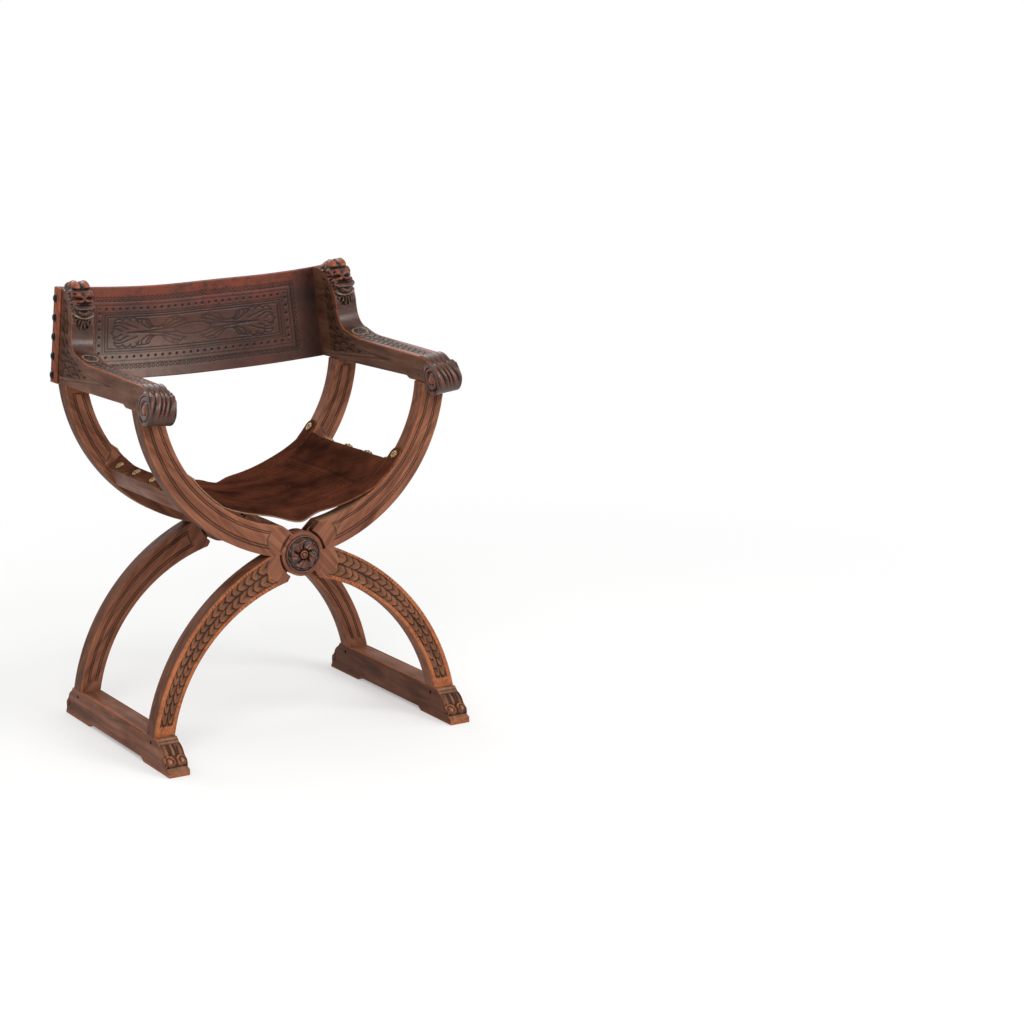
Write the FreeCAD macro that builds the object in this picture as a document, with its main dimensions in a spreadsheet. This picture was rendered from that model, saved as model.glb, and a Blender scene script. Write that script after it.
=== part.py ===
"""Savonarola chair: two crossed frames of S-shaped members, carved arms, leather seat and back."""
import FreeCAD, Part
import math
import os
import Sketcher

Vector = FreeCAD.Vector
DOC = FreeCAD.newDocument("savonarola_chair")

# Driving dimensions: millimetres, degrees and counts. Depths run along Y, the chair faces -Y.
SIZES = (
    # the two crossed frames
    ("frame_spacing", 368, "front frame's middle plane to the rear frame's"),
    ("frame_shift", 5, "how far the frames' midpoint lies behind the origin"),
    ("member_depth", 38, "thickness of each S-shaped member, front to back"),
    ("pivot_height", 372, "floor to the crossing's axis"),
    ("butt_rise", 4, "stop shoulders above the crossing's axis"),
    ("notch_reach", 66, "middle to the notches beside the crossing, where the stop shoulders end"),
    ("upright_reach", 317.7, "middle to the uprights' outer edge, under the arms"),
    ("upright_width", 47, "across each upright there"),
    ("leg_reach", 320.6, "middle to the legs' outer edge, on the runners"),
    ("leg_width", 43.2, "across each leg there"),
    ("upper_corner_reach", 38, "middle to the corner where an upper arc's inner edge ends"),
    ("upper_corner_rise", 58.4, "that corner above the crossing's axis"),
    ("lower_corner_reach", 34, "middle to the corner where a leg's inner edge ends"),
    ("lower_corner_drop", 47.2, "that corner below the crossing's axis"),
    ("corner_angle", 42, "slope of the cut from those corners to the crossing"),
    ("disc_radius", 43, "round lap at the crossing"),
    ("shoulder_radius", 48, "hollow that the other member's lap turns in"),
    ("lap_gap", 0.2, "between the two laps"),
    ("pin_radius", 9, "wooden pivot pins"),
    ("rosette_radius", 37, "carved boss over the front pin"),
    ("rosette_rim", 4, "thickness of its edge"),
    ("rosette_rise", 11, "its thickness at the middle"),
    ("button_radius", 7, "round button at its middle"),
    # fits and clearances
    ("fit_gap", 0.05, "pins, pegs and nail shanks in their holes, on the radius"),
    ("joint_gap", 0.2, "tenons in their mortises"),
    ("soft_gap", 0.3, "leather clear of the wood"),
    ("overrun", 6, "how far a cutting solid runs past what it cuts"),
    # arms, each one board with its post and scroll
    ("arm_rise", 304, "crossing's axis to the underside of the arms"),
    ("arm_thickness", 47, "of the board"),
    ("arm_outset", 2.5, "board's middle outside the upright's middle"),
    ("arm_lean", 6, "degrees that the board leans inwards"),
    ("arm_depth", 55, "height of the arm where it leaves the post"),
    ("arm_taper", 5, "less at the scroll"),
    ("post_overhang", 29, "post's back edge behind the rear frame"),
    ("post_height", 186, "arm's underside to the top of the post"),
    ("post_crest", 28, "flat top of the post, front to back"),
    ("post_neck", 92, "post's depth at the neck"),
    ("neck_height", 120, "top of the smooth neck"),
    ("neck_foot", 98, "bottom of the smooth neck"),
    ("cove_reach", 34, "hollow between the neck and the arm, front to back"),
    ("cove_height", 66, "where that hollow ends"),
    ("sweep_reach", 66, "long easing from the hollow to the arm's top"),
    ("mask_width", 46, "carved head on the post"),
    ("mask_depth", 78, "its length, front to back"),
    ("mask_relief", 10, "how far it stands ahead of the neck"),
    ("mask_rise", 18, "its top above the post's top"),
    ("scroll_radius", 29, "roll at the front of the arm"),
    ("scroll_width", 52, "its length across the arm"),
    ("scroll_reach", 32, "its axis ahead of the front frame"),
    ("scroll_rise", 9, "its axis above the arm's underside"),
    ("scroll_eye", 8, "radius of the button in each of its ends"),
    ("scroll_sink", 2.5, "depth of the turned hollow in each end"),
    ("block_tail", 24, "thick block behind the front upright"),
    ("step_rise", 5, "step up behind that block"),
    # tenons and pegs
    ("tenon_width", 26, "across the member"),
    ("tenon_depth", 14, "front to back"),
    ("tenon_length", 30, "into the arm or the runner"),
    ("peg_radius", 3.5, "wooden pegs through the tenons"),
    ("peg_share", 0.45, "peg's place along the tenon"),
    # runners
    ("runner_height", 62, "floor to the legs"),
    ("runner_width", 42, "side to side"),
    ("runner_half_length", 260, "origin to the tip of each toe"),
    ("pad_length", 123, "each bearing pad, front to back"),
    ("pad_relief", 7, "runner's underside above the floor between the pads"),
    ("chamfer_size", 5, "stopped chamfers on the runner's top edges"),
    ("chamfer_stop", 20, "chamfer's end before the leg"),
    # seat rails and leather
    ("rail_thickness", 26, "side rails under the seat"),
    ("rail_height", 42, "their height"),
    ("rail_lean", 25, "degrees that their top leans outwards"),
    ("rail_angle", 47, "place of the rails, degrees round the upper arc from its foot"),
    ("rail_depth", 29.6, "uprights' inner edge out to the rail's middle"),
    ("rail_tenon_length", 16, "into each frame"),
    ("leather_thickness", 2.5, "seat and back"),
    ("tab_angle", 56, "end of the corner tabs, degrees round the upper arc"),
    ("front_foot_angle", 36.5, "where the seat leaves the front uprights"),
    ("rear_foot_angle", 50, "where the seat leaves the rear uprights"),
    ("front_dip_rise", 76, "crossing's axis to the seat's middle at the front edge"),
    ("middle_dip_rise", 84, "the same half way back"),
    ("rear_dip_rise", 94, "the same at the rear edge"),
    ("back_flap", 37, "back leather on the post's outer face"),
    ("back_bow", 12, "how far the back leather hangs back between the posts"),
    ("back_sag", 11, "how far its top and bottom edges sag"),
    # nails
    ("iron_nail_radius", 9, "black nails of the back"),
    ("iron_nail_dome", 4, "their height"),
    ("iron_nail_count", 5, "down each post"),
    ("iron_nail_first", 14, "lowest nail above the arm's underside"),
    ("iron_nail_pitch", 37.5, "between them"),
    ("iron_nail_edge", 9.5, "nail's middle from the post's back edge"),
    ("brass_nail_radius", 9, "flower nails of the seat"),
    ("brass_nail_dome", 4.5, "their height"),
    ("brass_nail_count", 4, "along each rail"),
    ("brass_nail_pitch", 84, "between them"),
    ("tab_nail_angle", 52.5, "nails in the corner tabs, degrees round the upper arc"),
    ("shank_radius", 1.6, "of every nail"),
    ("shank_length", 15, "of every nail"),
)

# Sagittas of the members' edges as shares of their chords, from the crossing to their far ends.
EDGE_SHARES = {("upper", "outer"): -0.157, ("upper", "inner"): -0.170,
               ("lower", "outer"): 0.128, ("lower", "inner"): 0.145}
# Sagitta shares below are of the edge that follows a corner: positive ones hollow the piece.
# Toe of a runner as seen from the side: shares of its length past the leg and of its height.
TOE_SHARES = (
    (1.00, 0.00, 0.0),
    (1.00, 0.20, 0.0),
    (0.80, 0.26, 0.0),
    (0.84, 0.46, -0.22),
    (0.62, 0.64, 0.12),
    (0.30, 0.86, -0.10),
    (0.14, 1.00, 0.0),
)
# Underside relief between the pads: how far the slope at its end runs, for its height.
RELIEF_SLOPE_SHARE = 1.6
# Arm's underside step: its run for its height.
STEP_SLOPE_SHARE = 2.4
# Sagitta shares of the curved edges of the arm's outline.
POST_BROW_SHARE = -0.14
NECK_HOLLOW_SHARE = 0.03
COVE_HOLLOW_SHARE = 0.20
SWEEP_HOLLOW_SHARE = 0.04
SCROLL_SHOULDER_SHARE = -0.08
# Sagitta shares of the rosette's and the nails' domes.
ROSETTE_DOME_SHARE = -0.07
NAIL_DOME_SHARE = -0.12
# The flat tops of the rosette's button and of the nails as shares of their radii.
BUTTON_CROWN_SHARE = 0.6
NAIL_CROWN_SHARE = 0.15
# Head's outline as seen from the side: shares of its depth from the front and of its height.
MASK_SHARES = (
    (0.90, 0.00, 0.0),
    (1.00, 0.76, 0.0),
    (0.84, 0.94, -0.10),
    (0.60, 1.00, -0.10),
    (0.36, 0.93, -0.10),
    (0.22, 0.76, 0.04),
    (0.12, 0.52, 0.0),
    (0.00, 0.40, -0.15),
    (0.05, 0.18, -0.05),
    (0.12, 0.00, 0.0),
)
# The scroll's turned hollow as a share of its radius.
SCROLL_HOLLOW_SHARE = 0.80
# Bow and sag of the back leather are laid out on this many strips.
BACK_STRIPS = 12

LEFT, RIGHT = -1, 1
FRAMES = {"front": "(sizes.frame_shift - sizes.frame_spacing / 2)",
          "rear": "(sizes.frame_shift + sizes.frame_spacing / 2)"}


def write_sheet():
    """Write the driving dimensions into the document's spreadsheet."""
    sheet = DOC.addObject("Spreadsheet::Sheet", "sizes")
    for row, (alias, value, meaning) in enumerate(SIZES, start=1):
        sheet.set(f"A{row}", alias)
        sheet.set(f"B{row}", str(value))
        sheet.set(f"C{row}", meaning)
        sheet.setAlias(f"B{row}", alias)
    DOC.recompute()
    return sheet


SHEET = write_sheet()


def value(expression):
    """Return the number that an expression over the sheet's cells gives."""
    result = SHEET.evalExpression(expression)
    return float(getattr(result, "Value", result))


# Places worked out from the driving dimensions.
BUTT_HEIGHT = "(sizes.pivot_height + sizes.butt_rise)"
ARM_HEIGHT = "(sizes.pivot_height + sizes.arm_rise)"
HALF_DEPTH = "(sizes.member_depth / 2)"
FRONT_FACE = f"({FRAMES['front']} - {HALF_DEPTH})"
REAR_FACE = f"({FRAMES['rear']} + {HALF_DEPTH})"
POST_BACK = f"({REAR_FACE} + sizes.post_overhang)"
SCROLL_AXIS = f"({FRONT_FACE} - sizes.scroll_reach)"
REACH = "(sizes.upright_reach + sizes.leg_reach)"
SEAT_FRONT = f"({FRAMES['front']} + {HALF_DEPTH})"
SEAT_BACK = f"({FRAMES['rear']} - {HALF_DEPTH})"
BETWEEN_FRAMES = "(sizes.frame_spacing - sizes.member_depth)"


UPRIGHT_MIDDLE = "(sizes.upright_reach - sizes.upright_width / 2)"
ARM_MIDDLE = f"({UPRIGHT_MIDDLE} + sizes.arm_outset)"
LEG_MIDDLE = "(sizes.leg_reach - sizes.leg_width / 2)"
UPPER_CORNER_HEIGHT = "(sizes.pivot_height + sizes.upper_corner_rise)"
LOWER_CORNER_HEIGHT = "(sizes.pivot_height - sizes.lower_corner_drop)"
# The two ends (x, z) of each of a member's edges, on the right side.
EDGE_ENDS = {
    ("upper", "outer"): (("sizes.notch_reach", BUTT_HEIGHT), ("sizes.upright_reach", ARM_HEIGHT)),
    ("upper", "inner"): (("sizes.upper_corner_reach", UPPER_CORNER_HEIGHT),
                         ("(sizes.upright_reach - sizes.upright_width)", ARM_HEIGHT)),
    ("lower", "outer"): (("sizes.notch_reach", BUTT_HEIGHT), ("sizes.leg_reach", "sizes.runner_height")),
    ("lower", "inner"): (("sizes.lower_corner_reach", LOWER_CORNER_HEIGHT),
                         ("(sizes.leg_reach - sizes.leg_width)", "sizes.runner_height")),
}


def edge_circle(level, edge):
    """Return the centre's x and z and the radius of one of a member's edges, on the right side."""
    (x, z), (far_x, far_z) = EDGE_ENDS[level, edge]
    share = EDGE_SHARES[level, edge]
    lean = (4 * share ** 2 - 1) / (8 * share)
    centre_x = f"((({x}) + ({far_x})) / 2 - (({far_z}) - ({z})) * ({lean}))"
    centre_z = f"((({z}) + ({far_z})) / 2 + (({far_x}) - ({x})) * ({lean}))"
    chord = f"sqrt((({far_x}) - ({x})) ^ 2 + (({far_z}) - ({z})) ^ 2)"
    return centre_x, centre_z, f"({chord} * {(1 + 4 * share ** 2) / (8 * abs(share))})"


ARC_X, ARC_Z, ARC_RADIUS = edge_circle("upper", "inner")
RAIL_REACH = f"({ARC_X} + ({ARC_RADIUS} + sizes.rail_depth) * sin(sizes.rail_angle))"
RAIL_HEIGHT = f"({ARC_Z} - ({ARC_RADIUS} + sizes.rail_depth) * cos(sizes.rail_angle))"


def place(thing, x="0", y="0", z="0", axis=Vector(0, 1, 0), angle=None):
    """Bind an object's place, and its turn about an axis, to expressions."""
    if angle is not None:
        thing.Placement = FreeCAD.Placement(Vector(), FreeCAD.Rotation(axis, 1))
        thing.setExpression("Placement.Rotation.Angle", angle)
    for letter, expression in (("x", x), ("y", y), ("z", z)):
        thing.setExpression(f"Placement.Base.{letter}", expression)
    return thing


def arm_frame(thing, side):
    """Put a piece in an arm's own frame: origin at its underside, leaning inwards."""
    return place(thing, x=f"{side} * {ARM_MIDDLE}", z=ARM_HEIGHT, angle=f"{-side} * sizes.arm_lean")


def rail_frame(thing, side):
    """Put a piece in a seat rail's own frame: origin at the middle of its section."""
    return place(thing, x=f"{side} * {RAIL_REACH}", y="sizes.frame_shift", z=RAIL_HEIGHT,
                 angle=f"{side} * sizes.rail_lean")


def runner_frame(thing, side):
    """Put a piece in a runner's own frame: origin on the floor below its middle."""
    return place(thing, x=f"{side} * {LEG_MIDDLE}")


def box(name, spans, **where):
    """Make a box from (low, high) expressions along X, Y and Z of its own frame."""
    solid = DOC.addObject("Part::Box", name)
    for prop, (low, high) in zip(("Length", "Width", "Height"), spans):
        solid.setExpression(prop, f"({high}) - ({low})")
    lows = [low for low, high in spans]
    return place(solid, *lows, **where)


def cylinder(name, radius, low, high, x, z):
    """Make a cylinder whose axis runs along Y from low to high."""
    solid = DOC.addObject("Part::Cylinder", name)
    solid.setExpression("Radius", radius)
    solid.setExpression("Height", f"({high}) - ({low})")
    solid.Placement = FreeCAD.Placement(Vector(), FreeCAD.Rotation(Vector(1, 0, 0), -90))
    for letter, expression in (("x", x), ("y", low), ("z", z)):
        solid.setExpression(f"Placement.Base.{letter}", expression)
    return solid


def cut(name, base, *tools):
    """Cut one or more tools from a base."""
    for count, tool in enumerate(tools, start=1):
        last = count == len(tools)
        result = DOC.addObject("Part::Cut", name if last else f"{name}_cut_{count}")
        result.Base = base
        result.Tool = tool
        base = result
    return base


def fuse(name, *shapes):
    """Fuse several objects."""
    result = DOC.addObject("Part::MultiFuse", name)
    result.Shapes = list(shapes)
    result.Refine = True
    return result


def common(name, *shapes):
    """Keep what several objects have in common."""
    result = DOC.addObject("Part::MultiCommon", name)
    result.Shapes = list(shapes)
    return result


def new_body(name):
    """Make an empty body that may hold several solids."""
    body = DOC.addObject("PartDesign::Body", name)
    body.AllowCompound = True
    return body


def origin_feature(body, role):
    """Return a body's own origin plane or axis."""
    return next(item for item in body.Origin.OriginFeatures if item.Role == role)


def new_sketch(body, name, plane, lift=None, shift=None):
    """Attach an empty sketch to a body's origin plane, lifted off it or shifted along its own X."""
    sketch = body.newObject("Sketcher::SketchObject", name)
    sketch.AttachmentSupport = [(origin_feature(body, plane), "")]
    sketch.MapMode = "FlatFace"
    if lift is not None:
        sketch.setExpression("AttachmentOffset.Base.z", lift)
    if shift is not None:
        sketch.setExpression("AttachmentOffset.Base.x", shift)
    return sketch


def arc_centre(corner, after, chord):
    """Return the constraint and the expression that place the centre of one edge's arc."""
    (x, y, share), (next_x, next_y) = corner, after[:2]
    lean = (4 * share ** 2 - 1) / (8 * share)
    if abs(chord.y) > abs(chord.x):
        return "DistanceX", f"(({x}) + ({next_x})) / 2 - (({next_y}) - ({y})) * ({lean})"
    return "DistanceY", f"(({y}) + ({next_y})) / 2 + (({next_x}) - ({x})) * ({lean})"


def outline(body, name, plane, corners, lift=None, shift=None):
    """Draw a closed outline through (x, y, sagitta share of the edge that follows) corners."""
    sketch = new_sketch(body, name, plane, lift, shift)
    points = [Vector(value(x), value(y), 0) for x, y, share in corners]
    count = len(corners)
    # every arc is drawn anticlockwise, so a hollowing one starts at the edge's far end
    ends = []
    for index, (x, y, share) in enumerate(corners):
        start, end = points[index], points[(index + 1) % count]
        chord = end - start
        middle = (start + end) / 2 + Vector(-chord.y, chord.x, 0) * share
        if share > 0:
            sketch.addGeometry(Part.Arc(end, middle, start))
        elif share:
            sketch.addGeometry(Part.Arc(start, middle, end))
        else:
            sketch.addGeometry(Part.LineSegment(start, end))
        ends.append((2, 1) if share > 0 else (1, 2))
    for index, (x, y, share) in enumerate(corners):
        after = (index + 1) % count
        sketch.addConstraint(Sketcher.Constraint("Coincident", index, ends[index][1], after, ends[after][0]))
        for kind, expression in (("DistanceX", x), ("DistanceY", y)):
            where = Sketcher.Constraint(kind, -1, 1, index, ends[index][0], value(expression))
            sketch.setExpression(f"Constraints[{sketch.addConstraint(where)}]", expression)
        if share:
            kind, expression = arc_centre(corners[index], corners[after], points[after] - points[index])
            centre = Sketcher.Constraint(kind, -1, 1, index, 3, value(expression))
            sketch.setExpression(f"Constraints[{sketch.addConstraint(centre)}]", expression)
    return sketch


def rectangle(body, name, plane, width, height, x="0", y="0", lift=None):
    """Draw a rectangle about a middle point."""
    left, right = f"({x}) - ({width}) / 2", f"({x}) + ({width}) / 2"
    low, high = f"({y}) - ({height}) / 2", f"({y}) + ({height}) / 2"
    corners = [(left, low, 0), (right, low, 0), (right, high, 0), (left, high, 0)]
    return outline(body, name, plane, corners, lift)


def circle(body, name, plane, radius, x="0", y="0", lift=None):
    """Draw a circle about a point."""
    sketch = new_sketch(body, name, plane, lift)
    sketch.addGeometry(Part.Circle(Vector(value(x), value(y), 0), Vector(0, 0, 1), value(radius)))
    for kind, expression in (("DistanceX", x), ("DistanceY", y)):
        where = Sketcher.Constraint(kind, -1, 1, 0, 3, value(expression))
        sketch.setExpression(f"Constraints[{sketch.addConstraint(where)}]", expression)
    size = Sketcher.Constraint("Radius", 0, value(radius))
    sketch.setExpression(f"Constraints[{sketch.addConstraint(size)}]", radius)
    return sketch


def pad(body, sketch, length):
    """Pad a sketch by a length, half to each side of its plane."""
    feature = body.newObject("PartDesign::Pad", f"{sketch.Name}_pad")
    feature.Profile = sketch
    feature.Midplane = True
    feature.setExpression("Length", length)
    body.Tip = feature
    return feature


def pocket(body, sketch, length):
    """Pocket a sketch by a length, half to each side of its plane."""
    feature = body.newObject("PartDesign::Pocket", f"{sketch.Name}_pocket")
    feature.Profile = sketch
    feature.Midplane = True
    feature.setExpression("Length", length)
    body.Tip = feature
    return feature


def revolve(body, sketch, axis):
    """Turn a sketch a full circle about one of its own axes."""
    feature = body.newObject("PartDesign::Revolution", f"{sketch.Name}_turn")
    feature.Profile = sketch
    feature.ReferenceAxis = (sketch, [axis])
    feature.Angle = 360
    body.Tip = feature
    return feature


def repeat(body, feature, axis, count, pitch):
    """Repeat a feature along one of the body's own axes."""
    DOC.recompute()
    pattern = body.newObject("PartDesign::LinearPattern", f"{feature.Name}_row")
    pattern.Originals = [feature]
    pattern.Direction = (origin_feature(body, axis), [""])
    pattern.Length = value(f"({count} - 1) * {pitch}")
    pattern.setExpression("Length", f"({count} - 1) * {pitch}")
    pattern.setExpression("Occurrences", count)
    body.Tip = pattern
    return pattern


def tenon(name, place_body, y, grow, *where):
    """Make a tenon, or with a clearance the mortise for it, half in each of the two pieces."""
    body = new_body(name)
    section = rectangle(body, f"{name}_section", "XY_Plane", f"sizes.tenon_width + 2 * {grow}",
                        f"sizes.tenon_depth + 2 * {grow}", y=y)
    pad(body, section, f"2 * (sizes.tenon_length + {grow})")
    return place_body(body, *where)


def lower_tenon(name, side, frame, grow):
    """Make the tenon at the foot of a leg, or the mortise for it in the runner."""
    body = tenon(name, runner_frame, FRAMES[frame], grow, side)
    body.setExpression("Placement.Base.z", "sizes.runner_height")
    return body


def upper_tenon(name, side, frame, grow):
    """Make the tenon at the top of an upright, or the mortise for it in the arm."""
    return tenon(name, arm_frame, FRAMES[frame], grow, side)


def peg_row(name, place_body, side, rise, length, grow):
    """Make the two pegs that cross a side's tenons, or with a clearance the holes for them."""
    body = new_body(name)
    for frame, y in FRAMES.items():
        section = circle(body, f"{name}_{frame}", "YZ_Plane", f"sizes.peg_radius + {grow}", x=y, y=rise)
        pad(body, section, length)
    return place_body(body, side)


ARM_PEG_RISE = "(sizes.peg_share * sizes.tenon_length)"
RUNNER_PEG_RISE = f"(sizes.runner_height - {ARM_PEG_RISE})"


def arm_pegs(name, side, grow="0", spare="0"):
    """Make an arm's two pegs, or the tool for their holes."""
    return peg_row(name, arm_frame, side, ARM_PEG_RISE, f"sizes.arm_thickness + 2 * {spare}", grow)


def runner_pegs(name, side, grow="0", spare="0"):
    """Make a runner's two pegs, or the tool for their holes."""
    return peg_row(name, runner_frame, side, RUNNER_PEG_RISE, f"sizes.runner_width + 2 * {spare}", grow)


def band(name, side, frame, level):
    """Make the curved band of an upper arc or of a leg on one side, without its ends."""
    low, high = f"{FRAMES[frame]} - {HALF_DEPTH}", f"{FRAMES[frame]} + {HALF_DEPTH}"
    discs = []
    for edge, spare in (("outer", "0"), ("inner", "sizes.overrun")):
        centre_x, centre_z, radius = edge_circle(level, edge)
        discs.append(cylinder(f"{name}_{edge}", radius, f"{low} - {spare}", f"{high} + {spare}",
                              f"{side} * {centre_x}", centre_z))
    ring = cut(f"{name}_ring", *discs)
    across = ("0", REACH) if side == RIGHT else (f"-{REACH}", "0")
    heights = {"upper": (BUTT_HEIGHT, f"{ARM_HEIGHT} + sizes.overrun"),
               "lower": ("sizes.runner_height", BUTT_HEIGHT)}[level]
    window = box(f"{name}_window", (across, (low, high), heights))
    return common(name, ring, window)


def corner_cut(name, side, frame, level):
    """Make the tool that trims a band's end from its corner towards the crossing."""
    upper = level == "upper"
    tool = DOC.addObject("Part::Box", name)
    for prop in ("Length", "Height"):
        tool.setExpression(prop, REACH)
    tool.setExpression("Width", "sizes.member_depth + 2 * sizes.overrun")
    # the box's near corner sits at the band's corner and one of its faces follows the trimmed end
    angle = {(RIGHT, True): "-90 - sizes.corner_angle", (LEFT, True): "sizes.corner_angle",
             (RIGHT, False): "180 + sizes.corner_angle", (LEFT, False): "90 - sizes.corner_angle"}
    return place(tool, x=f"{side} * sizes.{level}_corner_reach",
                 y=f"{FRAMES[frame]} - {HALF_DEPTH} - sizes.overrun",
                 z=UPPER_CORNER_HEIGHT if upper else LOWER_CORNER_HEIGHT, angle=angle[side, upper])


def arm_side_of_upright(name, side, frame):
    """Make the tool that trims an upright to the arm's leaning underside."""
    body = new_body(name)
    section = rectangle(body, f"{name}_section", "XY_Plane", "4 * sizes.arm_thickness",
                        "sizes.member_depth + 2 * sizes.overrun", y=FRAMES[frame],
                        lift="sizes.arm_thickness")
    pad(body, section, "2 * sizes.arm_thickness")
    return arm_frame(body, side)


def bar_along_rail(name, side, width, height, length):
    """Make a rectangular bar centred in a seat rail's frame."""
    body = new_body(name)
    pad(body, rectangle(body, f"{name}_section", "XZ_Plane", width, height), length)
    return rail_frame(body, side)


def rail_tenon(name, side, grow):
    """Make the tenons of a seat rail as one bar, or with a clearance the tool for their mortises."""
    return bar_along_rail(name, side, f"sizes.tenon_depth + 2 * {grow}", f"sizes.tenon_width + 2 * {grow}",
                          f"{BETWEEN_FRAMES} + 2 * (sizes.rail_tenon_length + {grow})")


def s_member(name, hand, frame):
    """Make one S-shaped member: an upper arc on its own side and a leg on the other."""
    side = LEFT if hand == "left" else RIGHT
    middle = FRAMES[frame]
    faces = (f"{middle} - {HALF_DEPTH}", f"{middle} + {HALF_DEPTH}")
    # the left members' laps are in front of the right members'
    if side == LEFT:
        lap_span = (faces[0], f"{middle} - sizes.lap_gap / 2")
        hollow_span = (lap_span[1], f"{faces[1]} + sizes.overrun")
    else:
        lap_span = (f"{middle} + sizes.lap_gap / 2", faces[1])
        hollow_span = (f"{faces[0]} - sizes.overrun", lap_span[0])
    upper = cut(f"{name}_upper", band(f"{name}_upper_band", side, frame, "upper"),
                corner_cut(f"{name}_upper_corner", side, frame, "upper"),
                arm_side_of_upright(f"{name}_top_cut", side, frame))
    lower = cut(f"{name}_lower", band(f"{name}_lower_band", -side, frame, "lower"),
                corner_cut(f"{name}_lower_corner", -side, frame, "lower"))
    arms = fuse(f"{name}_arms", upper, lower, upper_tenon(f"{name}_upper_tenon", side, frame, "0"),
                lower_tenon(f"{name}_lower_tenon", -side, frame, "0"))
    hollow = cylinder(f"{name}_hollow", "sizes.shoulder_radius", *hollow_span, "0", "sizes.pivot_height")
    lap = cylinder(f"{name}_lap", "sizes.disc_radius", *lap_span, "0", "sizes.pivot_height")
    whole = fuse(f"{name}_whole", cut(f"{name}_hollowed", arms, hollow), lap)
    spare = "sizes.overrun"
    bore = cylinder(f"{name}_bore", "sizes.pin_radius + sizes.fit_gap", f"{faces[0]} - {spare}",
                    f"{faces[1]} + {spare}", "0", "sizes.pivot_height")
    return cut(name, whole, bore, rail_tenon(f"{name}_rail_mortise", side, "sizes.joint_gap"),
               arm_pegs(f"{name}_arm_pegs", side, "sizes.fit_gap", spare),
               runner_pegs(f"{name}_runner_pegs", -side, "sizes.fit_gap", spare),
               tab_nail_shanks(f"{name}_nail_holes", side, frame))


def pivot_pin(name, frame):
    """Make a wooden pin as long as the frame is deep."""
    body = new_body(name)
    pad(body, circle(body, f"{name}_section", "XZ_Plane", "sizes.pin_radius"), "sizes.member_depth")
    return place(body, y=FRAMES[frame], z="sizes.pivot_height")


def rosette(name):
    """Make the carved boss that covers the front pin, as a turned dome with a button."""
    body = new_body(name)
    corners = [("0", "0", 0), ("0", "sizes.rosette_radius", 0),
               ("-sizes.rosette_rim", "sizes.rosette_radius", ROSETTE_DOME_SHARE),
               ("-(sizes.rosette_rim + sizes.rosette_rise) / 2", "sizes.button_radius", 0),
               ("-sizes.rosette_rise", f"{BUTTON_CROWN_SHARE} * sizes.button_radius", 0),
               ("-sizes.rosette_rise", "0", 0)]
    revolve(body, outline(body, f"{name}_profile", "YZ_Plane", corners), "H_Axis")
    return place(body, y=FRONT_FACE, z="sizes.pivot_height")


def arm_outline():
    """Return the corners of an arm, its post and its neck as seen from the side."""
    neck = f"{POST_BACK} - sizes.post_neck"
    cove = f"{neck} - sizes.cove_reach"
    sweep = f"{cove} - sizes.sweep_reach"
    tail = f"{FRAMES['front']} + {HALF_DEPTH} + sizes.block_tail"
    front_top = "sizes.arm_depth - sizes.arm_taper"
    return [
        (POST_BACK, "0", 0),
        (POST_BACK, "sizes.post_height", 0),
        (f"{POST_BACK} - sizes.post_crest", "sizes.post_height", POST_BROW_SHARE),
        (neck, "sizes.neck_height", NECK_HOLLOW_SHARE),
        (neck, "sizes.neck_foot", COVE_HOLLOW_SHARE),
        (cove, "sizes.cove_height", SWEEP_HOLLOW_SHARE),
        (sweep, "sizes.arm_depth", 0),
        (f"{SCROLL_AXIS} + sizes.scroll_radius", front_top, SCROLL_SHOULDER_SHARE),
        (SCROLL_AXIS, "sizes.scroll_rise + sizes.scroll_radius", 0),
        (SCROLL_AXIS, "sizes.scroll_rise", 0),
        (FRONT_FACE, "0", 0),
        (tail, "0", 0),
        (f"{tail} + {STEP_SLOPE_SHARE} * sizes.step_rise", "sizes.step_rise", 0),
        (SEAT_BACK, "0", 0),
    ]


def mask_outline():
    """Return the corners of the head that stands out of the post's brow."""
    front = f"({POST_BACK} - sizes.post_neck - sizes.mask_relief)"
    height = "(sizes.post_height + sizes.mask_rise - sizes.neck_height)"
    return [(f"{front} + {along} * sizes.mask_depth", f"sizes.neck_height + {rise} * {height}", curve)
            for along, rise, curve in MASK_SHARES]


def arm(name, side):
    """Make an arm: one board with its post, mask and scroll."""
    body = new_body(f"{name}_board")
    pad(body, outline(body, f"{name}_profile", "YZ_Plane", arm_outline()), "sizes.arm_thickness")
    pad(body, outline(body, f"{name}_mask", "YZ_Plane", mask_outline()), "sizes.mask_width")
    axis = {"x": SCROLL_AXIS, "y": "sizes.scroll_rise"}
    pad(body, circle(body, f"{name}_scroll", "YZ_Plane", "sizes.scroll_radius", **axis), "sizes.scroll_width")
    for end in (LEFT, RIGHT):
        hollow = circle(body, f"{name}_hollow_{end + 1}", "YZ_Plane",
                        f"{SCROLL_HOLLOW_SHARE} * sizes.scroll_radius",
                        lift=f"{end} * sizes.scroll_width / 2", **axis)
        pocket(body, hollow, "2 * sizes.scroll_sink")
    pad(body, circle(body, f"{name}_eye", "YZ_Plane", "sizes.scroll_eye", **axis), "sizes.scroll_width")
    arm_frame(body, side)
    tools = [upper_tenon(f"{name}_{frame}_mortise", side, frame, "sizes.joint_gap") for frame in FRAMES]
    tools.append(arm_pegs(f"{name}_peg_holes", side, "sizes.fit_gap", "sizes.overrun"))
    tools.append(back_nail_shanks(f"{name}_nail_holes", side))
    return cut(name, body, *tools)


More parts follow.
